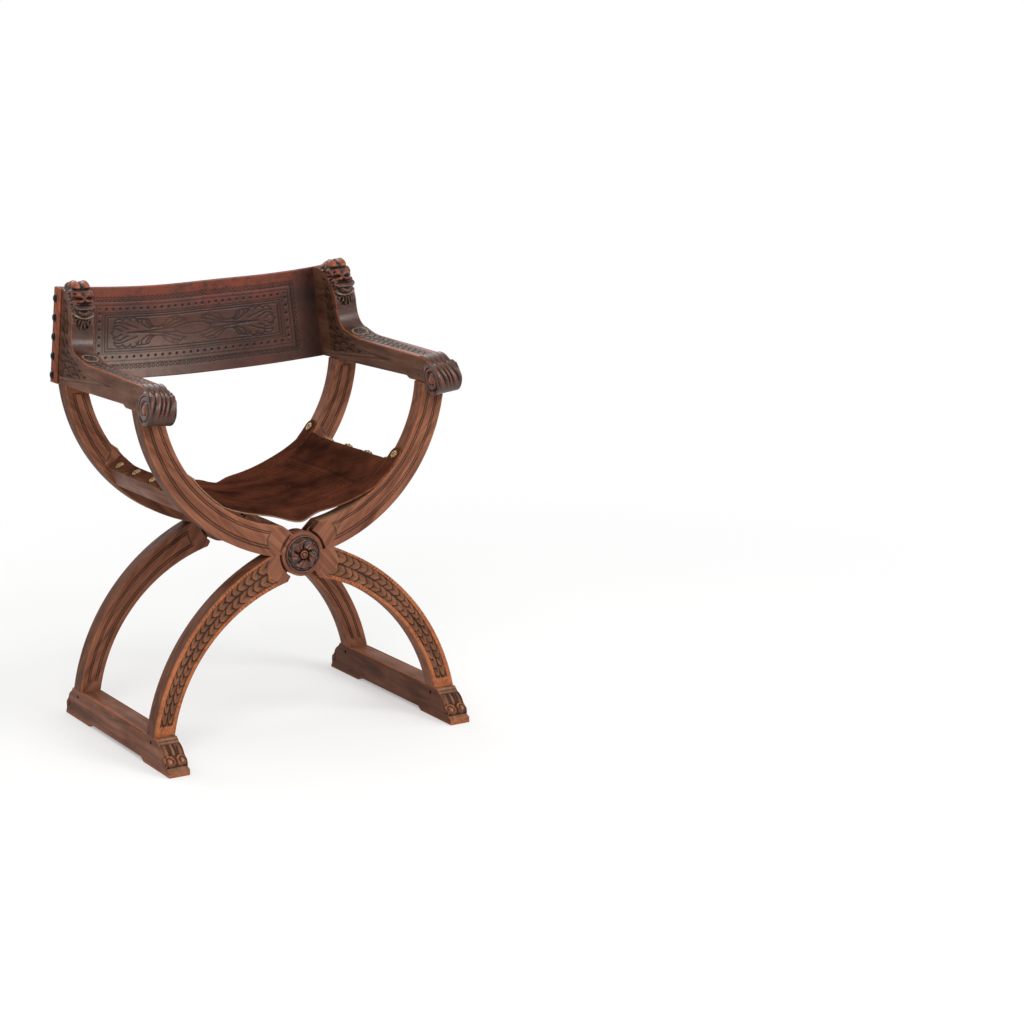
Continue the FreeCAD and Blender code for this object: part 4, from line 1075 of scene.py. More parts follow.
@dataclass
class Arm:
    """One arm board with its post, mask head, leaf panels and scroll."""

    side: Side
    finishes: Finishes
    board_length: float = 620.0
    lane: float = 24.0
    side_leaf: tuple[float, float] = (23.0, 3.4)
    top_leaf: tuple[float, float] = (20.0, 2.4)
    oval_at: float = 100.0
    oval_half: tuple[float, float] = (17.0, 14.0)
    # curls cut beside the scroll: the middle, the radius, the first and last angle, and the cut's width
    curl_cuts: tuple[tuple[tuple[float, float], float, float, float, float], ...] = (
        ((-166, 27), 8, 60, 190, 1.5), ((-183, 29), 8, 20, 150, 1.5), ((-168, 27), 3.5, 60, 220, 1.3))
    head_low: float = 120.0
    head_high: float = 199.0
    head_front: float = 135.0
    head_depth: float = 78.0
    head_half: float = 23.0
    scroll_at: tuple[float, float] = (-230.0, 9.0)
    scroll_radius: float = 29.0
    scroll_half: float = 26.0
    marks: tuple[float, ...] = (0, 0.15, 0.21, 0.30, 0.42, 0.84, 0.87, 0.95, 1.0)
    top: Corners = (
        (209, 186), (145, 120), (145, 98), (111, 66), (45, 55), (-124, 51.6), (-136, 51.3), (-201, 50),
        (-230, 38))
    top_bends: tuple[float, ...] = (-0.19, 0.03, 0.20, 0.04, 0, 0, 0, -0.08)
    crest: tuple[float, float, float] = (214.1, 117.0, 69.2)
    under: Corners = (
        (237, 186), (237, 120), (237, 70), (237, 0), (60, 1.9), (-124, 5), (-136, 0), (-198, 0), (-230, 9))
    lumps: tuple[Lump, ...] = (
        # the two balls of hair, the cleft between them, and the hollow below
        Lump(10.5, 197, 7.6, 8.5, 7.5), Lump(0, 199, 2.2, 10, -5.0, 1.0), Lump(9, 188.3, 14, 1.6, -4.5, 1.1),
        # brows and lids, sockets, the nose and the line under the eyes
        Lump(10.5, 179.5, 7.4, 5.4, 8.0), Lump(14.5, 180.5, 1.9, 1.9, -6.0, 1.3),
        Lump(0, 180, 2.0, 7, -1.5, 0.8), Lump(0, 171.5, 4.4, 4.2, 7.5), Lump(9.5, 172.2, 9, 1.5, -4.0, 1.1),
        # moustache, cheeks, mouth and the knob inside the oval collar
        Lump(10, 167, 8.5, 2.9, 6.0), Lump(0, 165.5, 2.0, 3, -2, 0.9), Lump(17, 158, 4.5, 6.0, 4.5),
        Lump(0, 160.5, 13, 2.0, -4.5, 1.1), Lump(7.5, 154, 8, 3.6, 3.0), Lump(0, 148.7, 10, 1.5, -3.0, 1.0),
        Lump(0, 142.3, 5.4, 4.2, 6.0))
    # curls down the sides of the head: back, up and radius
    curls: tuple[tuple[float, float, float], ...] = (
        (184, 192, 11), (165, 177, 12), (153, 157, 11), (148, 137, 9))

    def to_world(self, across: Array, back: Array, up: Array) -> Array:
        """Return places in the chair from places on the arm: out from the middle, back and up."""
        lean = math.radians(PLAN.arm_lean)
        x = PLAN.arm_x + across * math.cos(lean) - up * math.sin(lean)
        z = PLAN.arm_z + across * math.sin(lean) + up * math.cos(lean)
        return np.stack([x * self.side.value, back, z], axis=1)

    def region(self, share: Array, across: Array) -> Array:
        """Return the board's plane: from its underside and back (0) to its top and front (1)."""
        low = along_line(self.under, share, self.marks)
        high = bent_line(self.top, self.top_bends, self.marks, share)
        return low + (high - low) * across[:, None]

    def side_panels(self, spot: Spot, back: Array, up: Array) -> tuple[Array, Array, Array]:
        """Return the cut, the shade and the pale in the cut lines of the leaf panels on both sides."""
        below = spot.width - spot.across
        # the crescent beside the post: a plain band follows the front edge, and a line closes the foot
        band = 15 + 12 * smooth(130, 15, back)
        floor = 12 + 15 * (200 - back) / 192
        closed = np.minimum(np.minimum(below - band, up - floor), np.minimum(198 - back, 168 - up))
        inside = smooth(0, 1.2, closed) * spot.broad
        run = spot.share * self.board_length
        deep = below - band + 2.0 * np.sin(run / 13)
        stand, shade = lobes(run + 11 * np.floor(deep / self.lane) + 1.5 * np.sin(deep / 6),
                             np.mod(deep, self.lane) - self.lane / 2, self.lane / 2, *self.side_leaf)
        leafy = smooth(1.5, 5, closed) * (back > 60)
        cut = inside * (-3.2 * leafy + stand * leafy - 0.6 * (1 - leafy))
        recess = inside * (0.2 + 0.7 * shade * leafy)
        rim = np.maximum(hill(closed + 3.2, 0.7), 0.8 * hill(closed - 0.2, 0.7))
        rim = rim * spot.broad * (back < 197) * (up < 165)
        marks = np.maximum.reduce([stroke(back, up, *curl) for curl in self.curl_cuts]) * spot.broad
        cut = cut - 0.9 * rim - 1.3 * marks
        recess = np.maximum(recess, 0.8 * np.maximum(rim, marks))
        return cut, recess, np.maximum(0.3 * marks, 0.4 * rim * (closed > -1.5))

    def carve(self, spot: Spot) -> tuple[Array, ...]:
        """Carve the sides, and the top's leaf panel from the oval at the cove's foot to the scroll."""
        back, up = spot.plane[:, 0], spot.plane[:, 1]
        out = spot.depth - PLAN.arm_width / 2
        top, low = spot.on(Face.OUTER), up < 110
        cut, recess, dust_and_highlight = self.side_panels(spot, back, up)
        half = 9.5 + 7.5 * smooth(-190, 90, back)
        run = (back < 92) & (back > -196)
        oval = np.hypot((back - self.oval_at) / self.oval_half[0], out / self.oval_half[1])
        panel = smooth(0, 1.2, half - np.abs(out)) * run * (oval > 1.1) * top
        pitch, depth = self.top_leaf
        right = out > 0
        leaf, gloom = lobes(back + pitch / 2 * ~right, out - np.where(right, 0.5, -0.5) * half, half / 2,
                            pitch, depth)
        cut = cut + panel * (leaf - depth)
        recess = np.maximum(np.maximum(recess, 0.4 * top), panel * (0.15 + 0.75 * gloom))
        ring = hill((oval - 1) * 15, 1.6) * top * (back > 60) * low
        core = (oval < 0.88) * top * low
        petal = 0.5 + 0.5 * np.cos(6 * np.arctan2(out, back - self.oval_at))
        cut = cut + 1.2 * ring + core * (-1.8 + 1.6 * petal * hill(oval - 0.45, 0.3))
        recess = np.maximum(recess, core * (1 - 0.7 * petal))
        crest = np.sqrt(np.abs(np.cos(math.pi * out / 10.6)))
        sheaf = top * smooth(-178, -192, back + 12 * (1 - crest))
        cut = np.where(sheaf > 0, sheaf * (4.2 * crest - 1.6), cut)
        recess = np.where(sheaf > 0.05, (1 - smooth(0.35, 0.75, crest)) * 0.95, recess)
        plain = top * smooth(half + 1, half + 3, np.abs(out)) * run
        recess = recess * (1 - 0.7 * plain)
        # painted highlights on the oval's raised ring and on the leaf tips
        dust_and_highlight = np.maximum(np.maximum(dust_and_highlight, 0.8 * ring), 0.3 * panel * smooth(1.5, 2.2, leaf))
        wear = 0.75 * plain + 0.3 * panel * smooth(1.6, 2.3, leaf)
        return cut, np.clip(recess, 0, 1), wear, dust_and_highlight, np.maximum(0.9 * top, 0.2)

    def body(self) -> Mesh:
        """Make the board with its post."""
        section = Section.rounded(np.linspace(0, 1, 33), np.linspace(0, 1, 30), 2.6)
        stations = rows((0, 0.15, 0.0034), (0.15, 0.30, 0.0024), (0.30, 0.42, 0.0022), (0.42, 1.0, 0.0038))
        name, middle = f"{self.side.word}_arm_board", PLAN.arm_width / 2
        return board(name, stations, section, self.region, PLAN.arm_width, self.carve,
                     lambda plane, depth: self.to_world(depth - middle, plane[:, 0], plane[:, 1]))

    def head(self) -> Mesh:
        """Make the mask head: a boxy egg with a face in swellings, curls at its sides and a leafy beard."""
        front_marks = ((0.0, 0.12), (0.18, 0.05), (0.40, 0.0), (0.52, 0.10), (0.76, 0.20), (0.93, 0.33),
                       (1.0, 0.48))
        back_marks = ((0.0, 0.92), (0.5, 0.98), (0.76, 1.0), (0.94, 0.88), (1.0, 0.68))
        shoulder, shoulder_rise = 0.72, 0.80

        def shape(level: Array, turn: Array) -> Shaped:
            dome = np.clip((level - shoulder) / (1 - shoulder), 0, 1) * math.pi / 2
            rise = np.where(level < shoulder, level / shoulder * shoulder_rise,
                            shoulder_rise + (1 - shoulder_rise) * np.sin(dome))
            shrink = 0.02 + 0.98 * np.cos(dome)
            low = np.minimum(rise, shoulder_rise)
            front = self.head_front + self.head_depth * np.interp(low, *zip(*front_marks))
            rear = self.head_front + self.head_depth * np.interp(low, *zip(*back_marks))
            half_back = (rear - front) / 2 * shrink
            half = self.head_half * (0.90 + 0.10 * smooth(0.1, 0.5, rise)) * shrink
            power = 2 / 2.9
            cosine, sine = np.cos(turn), np.sin(turn)
            across = half * np.sign(cosine) * np.abs(cosine) ** power
            back = (front + rear) / 2 - half_back * np.sign(sine) * np.abs(sine) ** power
            up = self.head_low + (self.head_high - self.head_low) * rise
            out_x = np.sign(cosine) * np.abs(cosine) ** (2 - power) / np.maximum(half, 1)
            out_y = -np.sign(sine) * np.abs(sine) ** (2 - power) / np.maximum(half_back, 1)
            length = np.hypot(out_x, out_y)
            out_x, out_y = out_x / length, out_y / length
            crown = smooth(0.25, 0.6, dome) * (1 - smooth(172, 188, back))
            ahead = np.maximum(smooth(0.15, 0.75, -out_y), crown)
            beside = smooth(0.35, 0.85, np.abs(out_x)) * np.cos(dome)
            stand, shade = np.zeros(len(up)), np.full(len(up), 0.25)
            uneven = across + 1.1 * np.sin(up / 6.3) + 0.5 * np.sin(up / 2.7)
            for lump in self.lumps:
                weight = lump.weigh(uneven, up + 0.9 * np.sin(across / 5.5)) * ahead
                stand, shade = stand + lump.stand * weight, shade + lump.shade * weight
            oval = np.hypot(across / 21, (up - 151) / 17) * 17
            collar = hill(oval - 17, 1.4) * (up < 153) * ahead
            trough = np.maximum(hill(oval - 14, 1.2), hill(oval - 20, 1.2)) * (up < 151) * ahead
            stand, shade = stand + 2.8 * collar - 1.6 * trough, shade - 0.2 * collar + 0.8 * trough
            strands = teeth(across + 2.4 * np.sin(up / 4.1 + across / 8) + 0.8 * np.sin(up / 1.9), 6.6)
            beard = (1 - smooth(130, 135, up)) * ahead
            stand, shade = stand + 4.2 * strands * beard, shade + (1 - smooth(0.15, 0.6, strands)) * beard
            for eye_back, eye_up, reach in self.curls:
                ridge, dark = whorl(back - eye_back, up - eye_up, reach, reach * 0.8)
                weight = beside * (np.hypot(back - eye_back, up - eye_up) < reach)
                stand, shade = stand + 3.0 * ridge * weight, shade + 0.9 * dark * weight
            # small curls behind the balls, down to the strap
            hair = np.maximum(smooth(174, 184, back) * smooth(0.2, 0.6, dome),
                              smooth(0.3, 0.8, out_y) * (up > 175))
            knots = np.abs(np.sin(back / 3.4 + across / 7)) * np.abs(np.sin(across / 3.6 + 0.5))
            stand = stand + 3.4 * np.sqrt(knots) * hair
            shade = shade + (1 - smooth(0.1, 0.5, knots)) * hair * 0.9
            # what lies behind the board's crest sinks into the board
            buried = 1 - smooth(-3, 1, np.hypot(back - self.crest[0], up - self.crest[1]) - self.crest[2])
            stand = stand * (1 - buried)
            narrowed = np.sign(across) * np.minimum(np.abs(across), self.head_half - 2.5 * buried)
            across = np.where(buried > 0, narrowed, across)
            hang = 9 * teeth(across, 9.0) * ahead + 5 * teeth(back, 9.0) * (1 - ahead)
            up = up - hang * (1 - smooth(0.0, 0.10, level))
            tilt = smooth(0, math.pi / 2, dome) * math.pi / 2
            flat_stand = stand * np.cos(tilt)
            warm = 0.12 + 0.4 * smooth(160, 172, up) + 0.45 * smooth(184, 190, up)
            # painted highlights on the collar and on the beard's tips
            dust_and_highlight = 0.5 * collar + 0.4 * smooth(0.75, 1, strands) * beard
            place = self.to_world(across + out_x * flat_stand, back + out_y * flat_stand,
                                  up + stand * np.sin(tilt))
            return Shaped(place, np.clip(shade, 0, 1), smooth(1.5, 5.0, stand) * warm, dust_and_highlight, np.ones(len(up)))

        return lofted(f"{self.side.word}_arm_head", rows((0, 0.72, 0.0095), (0.72, 1, 0.014)),
                      np.linspace(0, 2 * math.pi, 181), shape)

    def scroll(self) -> Mesh:
        """Make the scroll: a barrel with leaf ridges over its top and a spiral in each end."""
        radius, half = self.scroll_radius, self.scroll_half
        bevel, corner, middle = 1.2, 0.4, 0.3
        profile = [(out, -half) for out in rows((middle, radius - bevel, 0.9))]
        profile.append((radius - corner, corner - half))
        profile += [(radius, across) for across in rows((bevel - half, half - bevel, 0.85))]
        profile.append((radius - corner, half - corner))
        profile += [(out, half) for out in rows((radius - bevel, middle, 0.9))]
        reach, across_marks = (np.array(column) for column in zip(*profile))
        eye_radius = 8.6

        def shape(ring: Array, out: Array, turn: Array) -> Shaped:
            across = across_marks[ring]
            end = np.abs(across) >= half - 0.01
            # ends: an open spiral band round a large eye
            degrees = np.degrees(turn)
            ridge, dark = whorl(-out * np.cos(turn), out * np.sin(turn), 27, 12.5, 1.0)
            eye = out < eye_radius
            dome = np.sqrt(np.clip(1 - (out / eye_radius) ** 2, 0, 1))
            stand = np.where(eye, 2.2 * dome, -3.2 + 3.4 * ridge)
            stand = np.where(out > 25.5, 0.0, stand)
            moat = hill(out - eye_radius - 1, 1.0) * end
            across = across + np.sign(across) * (stand * end - 1.4 * moat)
            recess = np.maximum(0.25 + np.where(eye, 0, dark) * (out < 27), moat) * end
            # barrel: uneven leaf ridges fan over the top and die out at the middle of the front
            cover = smooth(-40, 8, degrees) * (1 - smooth(150, 165, degrees))
            drift = across * (1 + 0.12 * smooth(50, 130, degrees)) + 7.0 * np.sin(turn - 0.4)
            drift = drift + 2.0 * np.sin(across / 5.3 + turn)
            crest = np.abs(np.cos(math.pi * drift / 10.2))
            barrel = ~end
            ragged = smooth(84, 108, degrees) * (1 - smooth(128, 142, degrees))
            steps = teeth(degrees, 24) * smooth(17, 21, np.abs(across)) * smooth(15, 40, degrees)
            swell = (4.8 * np.sqrt(crest) - 2.2) * cover + 4.6 * ragged * crest * (0.7 + 0.3 * np.sin(across))
            groove = (1 - smooth(0.12, 0.55, crest)) * cover
            out = out + barrel * (swell - 0.4 + 1.8 * steps * cover)
            recess = np.maximum(recess, barrel * np.maximum(0.3 + 0.7 * groove, 0.6 * ragged * (1 - crest)))
            back = self.scroll_at[0] - out * np.cos(turn)
            up = self.scroll_at[1] + out * np.sin(turn)
            wear = np.where(end, 0.3 * ridge * (1 - dark) + 0.55 * eye, 0.4 * smooth(0.88, 1, crest) * cover)
            # paler down the slopes of the ridges over the top
            dust_and_highlight = barrel * 0.3 * hill(crest - 0.45, 0.12) * cover * smooth(30, 70, degrees)
            place = self.to_world(across, back, up)
            return Shaped(place, np.clip(recess, 0, 1), wear, dust_and_highlight, np.ones(len(up)))

        return ringed(f"{self.side.word}_arm_scroll", reach, 121, shape, -math.pi / 2)

    def build(self) -> Piece:
        """Make the whole arm."""
        name = f"{self.side.word}_arm"
        piece = joined(f"carved_{name}", [self.body(), self.head(), self.scroll()])
        self.finishes.put_by_polish(piece, self.finishes.arm_side, self.finishes.arm)
        return fitted(piece, name, self.side)


# runners, rails and rosette


@dataclass
class Runner:
    """One floor runner with carved toes."""

    side: Side
    finishes: Finishes
    centre: float = 299.0
    width: float = 42.0
    top: Corners = (
        (252.7, 12.4), (249.6, 16.1), (251.7, 28.5), (240.2, 39.7), (223.6, 53.3), (215.3, 62), (137, 62),
        (126, 62), (-126, 62), (-137, 62), (-206.7, 62), (-216.6, 53.3), (-236.4, 39.7), (-250.1, 28.5),
        (-247.6, 16.1), (-260, 12.4))
    bends: tuple[float, ...] = (0, 0.22, -0.12, 0.10, 0, 0, 0, 0, 0, 0, 0, 0.10, -0.12, 0.22, 0)
    under: Corners = (
        (260, 0), (256, 0), (251, 0), (243, 0), (229, 0), (215.3, 0), (137, 0), (126, 7), (-126, 7),
        (-137, 0), (-206.7, 0), (-219, 0), (-234, 0), (-245, 0), (-252, 0), (-260, 0))
    marks: tuple[float, ...] = (0, 0.03, 0.07, 0.11, 0.155, 0.18, 0.30, 0.32, 0.68, 0.70, 0.82, 0.845, 0.89,
                                0.93, 0.97, 1.0)
    # the eye of the volutes on the front toe: out from the middle and up
    volute_at: tuple[float, float] = (11.5, 27.5)
    volute_radius: float = 11.0
    # the rings cut in both sides of the toes: back, and how strong
    toe_rings: Corners = ((-240.5, 1.0), (243.0, 0.6))
    chamfer: float = 6.0

    def region(self, share: Array, across: Array) -> Array:
        """Return the runner's side view: from its underside (0) to its top (1), rear toe first."""
        low = along_line(self.under, share, self.marks)
        high = bent_line(self.top, [-bend for bend in self.bends], self.marks, share)
        return low + (high - low) * across[:, None]

    def carve(self, spot: Spot) -> tuple[Array, ...]:
        """Carve the front toe's leaf and volutes, chamfer the top arrises, and scuff the feet."""
        back, up = spot.plane[:, 0], spot.plane[:, 1]
        out = spot.depth - self.width / 2
        upper, sides = spot.on(Face.OUTER), spot.broad
        side = np.abs(out)
        # two mouldings across, then a leaf with a middle rib, down to a pair of volutes with a pearl in each
        lip = hill(back + 209.5, 1.7) + 0.8 * hill(back + 215, 1.5)
        seam = hill(back + 212.4, 1.0) + hill(back + 218, 1.2)
        leaf = upper * (back < -218) * (up > 36) * 1.0
        rib = hill(side, 1.7)
        vein = hill(side - 11 - 0.12 * (back + 218), 1.3) * smooth(-222, -228, back)
        gap = hill(side - 5, 1.5) + smooth(18.5, 20, side)
        swell = rib + hill(side - 11.5, 5.0)
        cut = upper * (1.3 * lip - 1.0 * seam) + leaf * (3.4 * swell - 3.2 - 1.6 * vein - 0.8 * gap)
        recess = upper * 0.7 * np.minimum(seam, 1) + leaf * np.clip(0.3 + gap + 0.8 * vein, 0, 1)
        # painted highlights on the lip, the leaf's rib and its edges
        pale = 0.30 * upper * lip + 0.30 * leaf * (rib + 0.6 * hill(side - 14, 1.3))
        low = upper * (up < 38) * (up > 17) * (back < -235)
        aside, above = side - self.volute_at[0], up - self.volute_at[1]
        coil = np.hypot(aside, above)
        ridge, dark = whorl(aside, above, self.volute_radius, 8.0, -1.0)
        pearl = hill(coil, 2.0)
        within, rim = coil < self.volute_radius, coil > self.volute_radius - 1
        cut = cut + low * (within * (2.4 * ridge - 2.0) - 1.6 * rim + 2.4 * pearl)
        gloom = np.clip((coil < self.volute_radius - 1) * dark + 0.7 * rim, 0, 1)
        recess = recess + low * gloom * (1 - pearl)
        # painted highlights on the pearls; the toe's plinth paler
        pale = pale + low * 0.8 * pearl + 0.2 * upper * (back < -247) * (up < 17)
        toe_wear = 0.7 * low * ridge * within * (up > 30)
        for middle, strength in self.toe_rings:
            reach = np.hypot(back - middle, up - 27)
            ring = hill(reach - 8.4, 0.9) * strength
            cut = cut + sides * (0.8 * (reach < 7.5) - 1.8 * ring)
            recess = np.maximum(recess, sides * ring)
        between = smooth(-146, -138, back) * (1 - smooth(148, 156, back))
        edge = np.minimum(spot.depth, self.width - spot.depth)
        near_top = smooth(self.chamfer, 0, edge) * upper
        near_top = near_top + smooth(self.chamfer, 0, spot.width - spot.across) * sides
        cut = cut - 2.4 * between * near_top
        wear = 0.6 * between * smooth(3, 0, np.abs(edge - 3)) * upper + 0.4 * (up < 6) * sides + toe_wear
        # painted shade on the inner face, under the chair
        inner = 0.42 * spot.on(Face.FRONT)
        return cut, np.maximum(np.clip(recess, 0, 1), inner), wear, pale

    def build(self) -> Piece:
        """Make the runner."""
        name = f"{self.side.word}_runner"
        section = Section.rounded(np.linspace(0, 1, 33), np.linspace(0, 1, 28), 1.6)
        stations = rows((0, 0.18, 0.0045), (0.18, 0.82, 0.01), (0.82, 1.0, 0.0034))

        def to_world(plane: Array, depth: Array) -> Array:
            x = self.side.value * (self.centre + depth - self.width / 2)
            return np.stack([x, plane[:, 0], np.maximum(plane[:, 1], 0)], axis=1)

        mesh = board(f"{name}_block", stations, section, self.region, self.width, self.carve, to_world)
        piece = joined(f"carved_{name}", [mesh])
        self.finishes.put(piece, self.finishes.walnut[Grain.ALONG_DEPTH])
        return fitted(piece, name, self.side.other)


@dataclass
class SeatRail:
    """One bevelled rail under the seat's edge."""

    side: Side
    finishes: Finishes
    bevel: float = 1.4

    def build(self) -> Piece:
        """Make the rail."""
        name = f"{self.side.word}_seat_rail"
        size = (PLAN.rail_width, PLAN.rail_rear - PLAN.rail_front, PLAN.rail_height)
        bm = bmesh.new()
        bmesh.ops.create_cube(bm, size=1)
        bmesh.ops.scale(bm, vec=size, verts=bm.verts)
        bmesh.ops.bevel(bm, geom=bm.edges[:], offset=self.bevel, segments=3, affect="EDGES", profile=0.5,
                        material=-1)
        turn = Matrix.Rotation(math.radians(PLAN.rail_lean * self.side.value), 4, "Y")
        middle = (self.side.value * PLAN.rail_x, (PLAN.rail_front + PLAN.rail_rear) / 2, PLAN.rail_z)
        place = Matrix.Translation(middle)
        bmesh.ops.transform(bm, matrix=Matrix.Scale(MM, 4) @ place @ turn, verts=bm.verts)
        piece = joined(f"bevelled_{name}", [baked(bm, name)])
        self.finishes.put(piece, self.finishes.walnut[Grain.ALONG_DEPTH])
        return fitted(piece, name, self.side)


@dataclass
class Rosette:
    """The carved flower over the front pin."""

    finishes: Finishes
    radius: float = 37.0
    base: float = -198.2
    ground: float = 1.2
    button: float = 8.4
    bead_ring: float = 29.6
    rim: float = 34.4
    petals: int = 5

    def build(self) -> Piece:
        """Make the rosette."""
        edge = [self.radius - 0.3, self.radius, self.radius, self.radius - 1.5]
        reach = np.concatenate([[0.15], rows((0.9, self.radius - 0.8, 0.8)), edge])
        last = len(reach) - 2

        def shape(ring: Array, out: Array, turn: Array) -> Shaped:
            angle = (turn + 0.022 * out) * self.petals / 2
            petal, between = np.abs(np.cos(angle)), np.abs(np.sin(angle))
            body = smooth(8, 12, out) * (1 - smooth(25, 29, out))
            second = smooth(14, 22, out) * (1 - smooth(27, 30, out))
            ribs = 0.5 + 0.5 * np.cos((turn + 0.03 * out) * self.petals * 3)
            height = self.ground + body * 7.0 * np.sqrt(petal) * (1 - 0.3 * hill(petal - 1, 0.04))
            height = np.maximum(height, self.ground + second * 4.4 * np.sqrt(between))
            height = height - 1.5 * ribs * body * (out < 24) - 2.6 * hill(out - 9.8, 1.2)
            button = 5.6 + 4.2 * np.sqrt(np.clip(1 - (out / self.button) ** 2, 0, 1))
            button = button - 1.8 * hill(out - 4.6, 0.8)
            height = np.where(out < self.button, button, height)
            beads = hill(out - self.bead_ring, 2.4) * np.abs(np.cos(turn * 6.5)) ** 0.6
            height = np.maximum(height, self.ground + 4.2 * beads)
            border = 4.6 * np.sqrt(np.clip(1 - ((out - self.rim) / 2.4) ** 2, 0, 1))
            height = np.maximum(height, border)
            height = np.where(ring >= last, 0.0, height)
            # darker in the grooves and the low ground: dirt and painted shade
            recess = hill(out - 9.9, 1.6) + hill(out - 4.6, 0.9)
            recess = recess + 1.1 * (1 - smooth(1.8, 5.0, height)) * (out < 33)
            recess = np.clip(0.35 + recess, 0, 1)
            wear = 0.85 * smooth(5.6, 8.0, height) + 0.3 * hill(out - self.rim, 1.4)
            x, y, z = out * np.cos(turn), self.base - height, PLAN.pivot + out * np.sin(turn)
            return Shaped(np.stack([x, y, z], axis=1), recess, wear, polish=np.ones(len(out)))

        piece = joined("carved_front_rosette", [ringed("rosette_flower", reach, 181, shape)])
        self.finishes.put(piece, self.finishes.arm)
        return fitted(piece, "front_rosette", Side.LEFT)


# brass nails


@dataclass
class FlowerNails:
    """Brass nails with petalled heads, in the seat's edges and corner tabs."""

    side: Side
    finishes: Finishes
    radius: float = 9.0
    dome: float = 4.5
    rail_places: tuple[float, ...] = (-121.0, -37.0, 47.0, 131.0)
    tab_angle: float = 52.5

    def head(self, name: str, at: Vector, out: Vector) -> Mesh:
        """Make one petalled head.

        Args:
            name: the mesh's name.
            at: the middle of its underside, mm.
            out: the way it faces.
        Returns:
            The mesh.
        """
        turn_to = np.array(out.to_track_quat("Z", "Y").to_matrix())
        reach = np.array([0.05, 1.2, 2.2, 3.0, 3.8, 5.0, 6.2, 7.2, 8.0, 8.6, self.radius, self.radius,
                          self.radius - 0.8])

        def shape(ring: Array, spread: Array, turn: Array) -> Shaped:
            petal = np.abs(np.cos(turn * 4))
            rim = smooth(5.5, self.radius, spread)
            out_to = spread * (1 - 0.10 * rim * (1 - petal))
            height = self.dome * np.sqrt(np.clip(1 - (spread / 9.6) ** 2, 0, 1)) * (0.72 + 0.28 * petal)
            height = height - 1.3 * hill(spread - 3.2, 0.9) + 0.8 * hill(spread, 2.0)
            height = np.where(ring >= len(reach) - 2, 0.0, height)
            flat = np.stack([out_to * np.cos(turn), out_to * np.sin(turn), height], axis=1)
            recess = np.clip(hill(spread - 3.3, 0.9) + 0.6 * (1 - petal) * rim, 0, 1)
            return Shaped(flat @ turn_to.T + np.array(at), recess, np.zeros(len(turn)))

        return ringed(name, reach, 49, shape)

    def build(self) -> None:
        """Make this side's rail nails and tab nails."""
        lean = math.radians(PLAN.rail_lean)
        up = Vector((self.side.value * math.sin(lean), 0, math.cos(lean)))
        rail = Vector((self.side.value * PLAN.rail_x, 0, PLAN.rail_z))
        rail = rail + up * (PLAN.rail_height / 2 + PLAN.gap + PLAN.leather)
        rail_heads = [self.head("rail_nail", rail + Vector((0, y, 0)), up) for y in self.rail_places]
        angle = math.radians(self.tab_angle)
        reach = PLAN.arc_radius - PLAN.gap - PLAN.leather - PLAN.gap
        tab = Vector((self.side.value * (PLAN.arc_x + reach * math.sin(angle)), PLAN.member_depth / 2,
                      PLAN.arc_z - reach * math.cos(angle)))
        inward = Vector((-self.side.value * math.sin(angle), 0, math.cos(angle)))
        tab_heads = [self.head("tab_nail", tab + Vector((0, y, 0)), inward)
                     for y in (PLAN.front_member, PLAN.rear_member)]
        for kind, heads in (("rail", rail_heads), ("tab", tab_heads)):
            name = f"{self.side.word}_{kind}_nails"
            piece = joined(f"flower_{name}", heads)
            self.finishes.put(piece, self.finishes.brass)
            fitted(piece, name, self.side)


# leather


def rings(along: Array, aside: Array, pitch: float, radius: float, width: float) -> Array:
    """Return a row of punched rings: 1 on their rims."""
    offset = np.mod(along / pitch, 1.0) * pitch - pitch / 2
    return hill(np.hypot(offset, aside) - radius, width)


def dots(along: Array, aside: Array, pitch: float, radius: float) -> Array:
    """Return a row of punched dots: 1 inside them."""
    offset = np.mod(along / pitch, 1.0) * pitch - pitch / 2
    return 1 - smooth(radius - 0.8, radius + 0.5, np.hypot(offset, aside))


def box_edge(first: Array, second: Array, half_first: float, half_second: float) -> tuple[Array, Array]:
    """Return how far each point is inside a rectangle's edge, and its place along that edge."""
    gap_first, gap_second = half_first - np.abs(first), half_second - np.abs(second)
    return np.minimum(gap_first, gap_second), np.where(gap_first < gap_second, second, first)


def near_curve(first: Array, second: Array, corners: Corners) -> Array:
    """Return each point's distance from a smooth stroke through the corners; far points all get 99."""
    steps, margin, far = 5, 4, 99.0
    knots = np.array([corners[0], *corners, corners[-1]], float)
    share = np.linspace(0, 1, steps, endpoint=False)[:, None]
    runs = [0.5 * (2 * b + (c - a) * share + (2 * a - 5 * b + 4 * c - d) * share ** 2
                   + (3 * b - a - 3 * c + d) * share ** 3)
            for a, b, c, d in zip(knots, knots[1:], knots[2:], knots[3:])]
    line = np.concatenate([*runs, knots[-1:]])
    nearest = np.full(len(first), far)
    low, high = line.min(axis=0) - margin, line.max(axis=0) + margin
    close = np.flatnonzero((first > low[0]) & (first < high[0]) & (second > low[1]) & (second < high[1]))
    spots = np.stack([first[close], second[close]], axis=1)
    for start, end in zip(line, line[1:]):
        way = end - start
        local = np.clip((spots - start) @ way / way.dot(way), 0, 1)
        gaps = np.linalg.norm(spots - start - local[:, None] * way, axis=1)
        nearest[close] = np.minimum(nearest[close], gaps)
    return nearest


